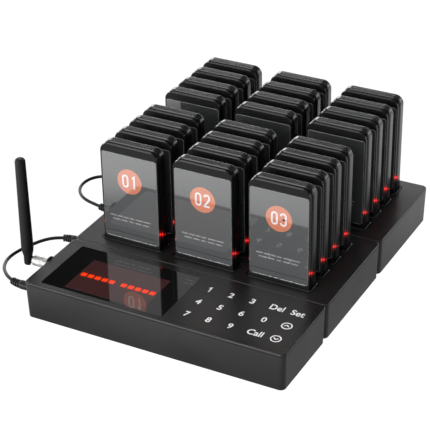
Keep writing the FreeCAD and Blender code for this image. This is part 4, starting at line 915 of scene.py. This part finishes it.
class PAGERS_OT_leads(bpy.types.Operator):
    """Build the two link leads with their plugs and ribbed strain reliefs"""
    bl_idname = "pagers.leads"
    bl_label = "Link leads"

    def execute(self, context):
        chosen = context.scene.pagers_lead
        # PVC, extruded: satin black with a slow drift of gloss along the jacket.
        jacket = finish("extruded satin PVC", (chosen.jacket, 1.2), 12.0, (0.34, 0.44), 0.9, 0.006,
                        IOR=1.24)
        # PVC, moulded: the same black, a shade duller.
        moulded = finish("moulded satin PVC", (chosen.jacket, 1.15), 5.0, (0.34, 0.44), 0.7, 0.008,
                         IOR=1.3)
        for name, (first_y, last_y, bend, ways, route) in LEADS.items():
            boots = list(zip((first_y, last_y), (bend, bend), ways))
            plugs = piece(name + "_moulded_plugs", [(*self.plug(*boot), 0) for boot in boots],
                          [moulded], "base", [name + "_plugs"], sharp=60.0)
            ends = [self.flexed(*boot, np.array([BOOT_LENGTH])) for boot in boots]
            ((start,), (out,)), ((end,), (back,)) = ends
            corners = [(x, start[1] + (end[1] - start[1]) * share, z) for share, x, z in route]
            points = [start, start + out * FIRST_RUN, *corners, end + back * FIRST_RUN, end]
            lead = self.lead(name + "_jacket", bench(points), chosen.diameter, jacket)
            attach(lead, "base")
            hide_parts(name)
            # The polished cards would mirror plugs and lead as a dark smudge.
            plugs.visible_glossy = lead.visible_glossy = False
        return {"FINISHED"}

    def flexed(self, y, bend, way, at):
        """Points and directions at distances along a flexed boot, an arc that leaves the plug
        along -x: (-radius * sin t, radius * (1 - cos t)) with t growing to the bend."""
        turn = math.radians(bend) * at / BOOT_LENGTH
        radius = BOOT_LENGTH / math.radians(bend)
        points = np.column_stack([
            BOOT_X - radius * np.sin(turn), y + way * radius * (1 - np.cos(turn)),
            np.full(len(turn), PLUG_Z)])
        return points, np.column_stack([-np.cos(turn), way * np.sin(turn), np.zeros(len(turn))])

    def plug(self, y, bend, way):
        """Turned plug body, then the boot: a circle of radius r(s) carried along the flexed arc.

        r(s) steps between the core and four ribs that shrink towards the lead.
        """
        index = np.arange(RIBS)[:, None]
        core, rib = CORE_R - CORE_LESS * index, RIB_R - RIB_LESS * index
        at = (BOOT_LENGTH * (index + RIB_END) / RIBS + RIB_PROFILE[:, 0]).ravel()
        ribs = (core + (rib - core) * RIB_PROFILE[:, 1] - RIB_PROFILE[:, 2]).ravel()
        at = np.concatenate([[0.0], at, [BOOT_LENGTH]])
        radii = np.concatenate([BOOT_ENDS[:1], ribs, BOOT_ENDS[1:]])
        arc, ahead = self.flexed(y, bend, way, at)
        straight = (PLUG_FACE, y, PLUG_Z) - PLUG_PROFILE[:, :1] * (1.0, 0.0, 0.0)
        seen = arc[:, 0] < straight[-1, 0] - CLEAR
        return loft(turned_tube(
            np.concatenate([straight, arc[seen]]),
            np.concatenate([np.tile((-1.0, 0.0, 0.0), (len(straight), 1)), ahead[seen]]),
            np.concatenate([PLUG_PROFILE[:, 1], radii[seen]]), count=40))

    def lead(self, name, points, diameter, material):
        """Round jacket on one smooth spline through the route's corners."""
        curve = bpy.data.curves.new(name, "CURVE")
        curve.dimensions = "3D"
        spline = curve.splines.new("NURBS")
        spline.points.add(len(points) - 1)
        spline.points.foreach_set("co", np.column_stack([points, np.ones(len(points))]).ravel())
        spline.order_u, spline.use_endpoint_u, spline.resolution_u = 3, True, 12
        curve.bevel_depth, curve.bevel_resolution, curve.use_fill_caps = diameter / 2, 6, True
        curve.materials.append(material)
        return place(name, curve)


# ---- stage
CAMERA_AT = (719.8, -970.0, 789.1)      # on the bench, in millimetres
CLIP_END = 50.0         # metres
SKY_LIGHTS = (          # degrees round from behind the part, + to the right, rise, spread, power
    (-134, 8, 0.40, 8.0),       # softbox at the front left
    (-150, 71, 0.50, 1.57),     # softbox high up
    (-29, 61, 0.16, 8.0),       # overhead strip
)
BACKDROP = (5.0, -2.30, 4.0)            # strength, more to the right, more behind
BACKDROP_BAND = (0.170, 0.103)          # height and spread of the backdrop's bright band
TABLE_REACH = 9.0       # metres from the middle of the table to its edges
TABLE_LIGHT = (0.45, 1.00, 0.45)        # light by the part, dimmed there by its painted shadow, more in front, less to the right
TABLE_RISE = 0.055      # metres in front of the part over which the table brightens out of the painted shadow
TABLE_LEFT = 0.3        # how much a metre to the left counts as a metre in front
TABLE_REAR = (0.20, 0.22, 0.9)          # where it brightens behind, over how many metres, how much
TABLE_MIDDLE = (0.13, 0.30)             # where the light in front counts in full, and its reach
TABLE_SIDES = (-0.4, 0.7)               # how far to the left and right it still changes
TABLE_BELOW = -0.3      # the lighting sheet's height, in millimetres


class PAGERS_OT_stage(bpy.types.Operator):
    """Set the pale floor, the soft lights and the camera"""
    bl_idname = "pagers.stage"
    bl_label = "Stage"

    def execute(self, context):
        chosen = context.scene.pagers_stage
        scene = context.scene
        scene.view_settings.view_transform = "Standard"
        # Opal acrylic, back-lit: an even pale surface.  One sheet is what the camera sees, and the
        # other is the same table as it lights the part: dim beside it, where the part's shadow is
        # painted into its light, bright in front.
        opal, glow = (
            finish(name, ("#101010", "#121212"), 900.0, (0.8, 0.9), 3.0, 0.001,
                   **{"Emission Color": linear("#FFFFFF"), "Emission Strength": power,
                      "Specular IOR Level": 0.0})
            for name, power in (("opal table", chosen.floor),
                                ("opal table light", self.table_light)))
        floor = self.sheet("floor", 0.0, opal)
        floor.visible_diffuse = floor.visible_glossy = floor.visible_transmission = False
        floor.visible_shadow = False
        below = self.sheet("table_light", TABLE_BELOW, glow)
        below.visible_camera = False
        self.world(scene, chosen.azimuth)
        self.camera(scene, chosen)
        return {"FINISHED"}

    def sheet(self, name, level, material):
        """Wide level sheet, its height in millimetres."""
        mesh = bpy.data.meshes.new(name)
        corners = [(x * TABLE_REACH, y * TABLE_REACH, level * MM)
                   for x, y in ((-1, -1), (1, -1), (1, 1), (-1, 1))]
        mesh.from_pydata(corners, [], [(0, 1, 2, 3)])
        mesh.materials.append(material)
        return place(name, mesh)

    def table_light(self, tree):
        """Strength: a base, plus a rise 1 - exp(-(distance / reach)^2) in front and to the left of
        the part that is tilted along x, plus a like rise behind it.  The low base by the part is
        its painted shadow."""
        where = add(tree, "ShaderNodeTexCoord").outputs["Object"]
        spot = add(tree, "ShaderNodeSeparateXYZ", {"Vector": where}).outputs
        base, front, tilt = TABLE_LIGHT
        start, span, gain = TABLE_REAR
        x, y = (("SUBTRACT", spot[at], float(ORIGIN[at])) for at in (0, 1))
        ahead = ("MINIMUM", ("ADD", y, ("MULTIPLY", ("MINIMUM", x, 0.0), TABLE_LEFT)), 0.0)
        rise = ("MULTIPLY", ("SUBTRACT", 1.0, bell(ahead, 0.0, TABLE_RISE)), front)
        beside = ("MINIMUM", ("MAXIMUM", x, TABLE_SIDES[0]), TABLE_SIDES[1])
        beside = ("SUBTRACT", beside, TABLE_MIDDLE[0])
        lean = ("ADD", ("MULTIPLY", beside, -tilt / TABLE_MIDDLE[1]), 1.0)
        behind = ("MAXIMUM", ("SUBTRACT", y, start), 0.0)
        rear = ("MULTIPLY", ("SUBTRACT", 1.0, bell(behind, 0.0, span)), gain)
        return ("ADD", ("ADD", ("MULTIPLY", rise, lean), rear), base)

    def world(self, scene, azimuth):
        """Studio round the part, in directions right of, away from and above the camera's line:
        a bright backdrop band and soft lights as round bells."""
        scene.world = bpy.data.worlds.new("studio")
        tree = empty_tree(scene.world)
        look = add(tree, "ShaderNodeTexCoord").outputs["Generated"]
        right = (math.cos(azimuth), math.sin(azimuth), 0.0)
        away = (-math.sin(azimuth), math.cos(azimuth), 0.0)
        side, behind = (
            add(tree, "ShaderNodeVectorMath", {0: look, 1: way},
                operation="DOT_PRODUCT").outputs["Value"] for way in (right, away))
        height = add(tree, "ShaderNodeSeparateXYZ", {"Vector": look}).outputs["Z"]
        # A hair over 1 keeps the root above nought straight overhead.
        level = ("SQRT", ("SUBTRACT", 1.0001, ("MULTIPLY", height, height)))
        plain, rightward, rearward = BACKDROP
        lean = ("ADD", ("MULTIPLY", side, rightward), ("MULTIPLY", behind, rearward))
        lean = ("DIVIDE", lean, level)
        total = ("MULTIPLY", ("MAXIMUM", ("ADD", lean, plain), 0.0), bell(height, *BACKDROP_BAND))
        for turn, rise, wide, power in SKY_LIGHTS:
            turn, rise = math.radians(turn), math.radians(rise)
            flat = np.multiply(right, math.sin(turn)) + np.multiply(away, math.cos(turn))
            centre = tuple(flat * math.cos(rise) + (0.0, 0.0, math.sin(rise)))
            far = add(tree, "ShaderNodeVectorMath", {0: look, 1: centre}, operation="DISTANCE")
            total = ("ADD", total, ("MULTIPLY", bell(far.outputs["Value"], 0.0, wide), power))
        light = add(tree, "ShaderNodeBackground", {"Color": (1, 1, 1, 1), "Strength": total})
        add(tree, "ShaderNodeOutputWorld", {"Surface": light.outputs[0]})

    def camera(self, scene, chosen):
        """Camera at its place, looking down its azimuth and elevation, rolled about that line."""
        az, el, roll = chosen.azimuth, chosen.elevation, chosen.roll
        back = np.array([math.sin(az) * math.cos(el), -math.cos(az) * math.cos(el), math.sin(el)])
        right = np.array([math.cos(az), math.sin(az), 0.0])
        up = np.cross(back, right)
        x = math.cos(roll) * right + math.sin(roll) * up
        y = -math.sin(roll) * right + math.cos(roll) * up
        lens = bpy.data.cameras.new("camera")
        lens.lens = chosen.lens
        lens.clip_end = CLIP_END
        made = place("camera", lens)
        turned = np.column_stack([x, y, back, bench(CAMERA_AT)])
        made.matrix_world = Matrix([*turned.tolist(), [0, 0, 0, 1]])
        scene.camera = made


# ---- add-on
GROUPS = (("pagers_stage", StageSettings), ("pagers_housing", HousingSettings),
          ("pagers_display", DisplaySettings), ("pagers_keypad", KeypadSettings),
          ("pagers_pager", PagerSettings), ("pagers_antenna", AntennaSettings),
          ("pagers_lead", LeadSettings))
OPERATORS = (PAGERS_OT_stage, PAGERS_OT_housings, PAGERS_OT_display, PAGERS_OT_keypad,
             PAGERS_OT_pagers, PAGERS_OT_antenna, PAGERS_OT_leads)


class PAGERS_PT_sidebar(bpy.types.Panel):
    """Sidebar panel with every setting and every step"""
    bl_label = "Guest pager system"
    bl_space_type = "VIEW_3D"
    bl_region_type = "UI"
    bl_category = "Pagers"

    def draw(self, context):
        for (name, group), operator in zip(GROUPS, OPERATORS):
            box = self.layout.box()
            for setting in group.__annotations__:
                box.prop(getattr(context.scene, name), setting)
            box.operator(operator.bl_idname)


def register():
    """Registers the settings, the steps and the panel."""
    for name, group in GROUPS:
        bpy.utils.register_class(group)
        setattr(bpy.types.Scene, name, bpy.props.PointerProperty(type=group))
    for made in OPERATORS + (PAGERS_PT_sidebar,):
        bpy.utils.register_class(made)


def unregister():
    """Takes away what register() added."""
    for made in (PAGERS_PT_sidebar,) + OPERATORS[::-1]:
        bpy.utils.unregister_class(made)
    for name, group in GROUPS[::-1]:
        delattr(bpy.types.Scene, name)
        bpy.utils.unregister_class(group)


def main():
    """Registers the add-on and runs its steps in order."""
    register()
    bpy.ops.pagers.stage()
    bpy.ops.pagers.housings()
    bpy.ops.pagers.display()
    bpy.ops.pagers.keypad()
    bpy.ops.pagers.pagers()
    bpy.ops.pagers.antenna()
    bpy.ops.pagers.leads()


if __name__ == "__main__":
    main()
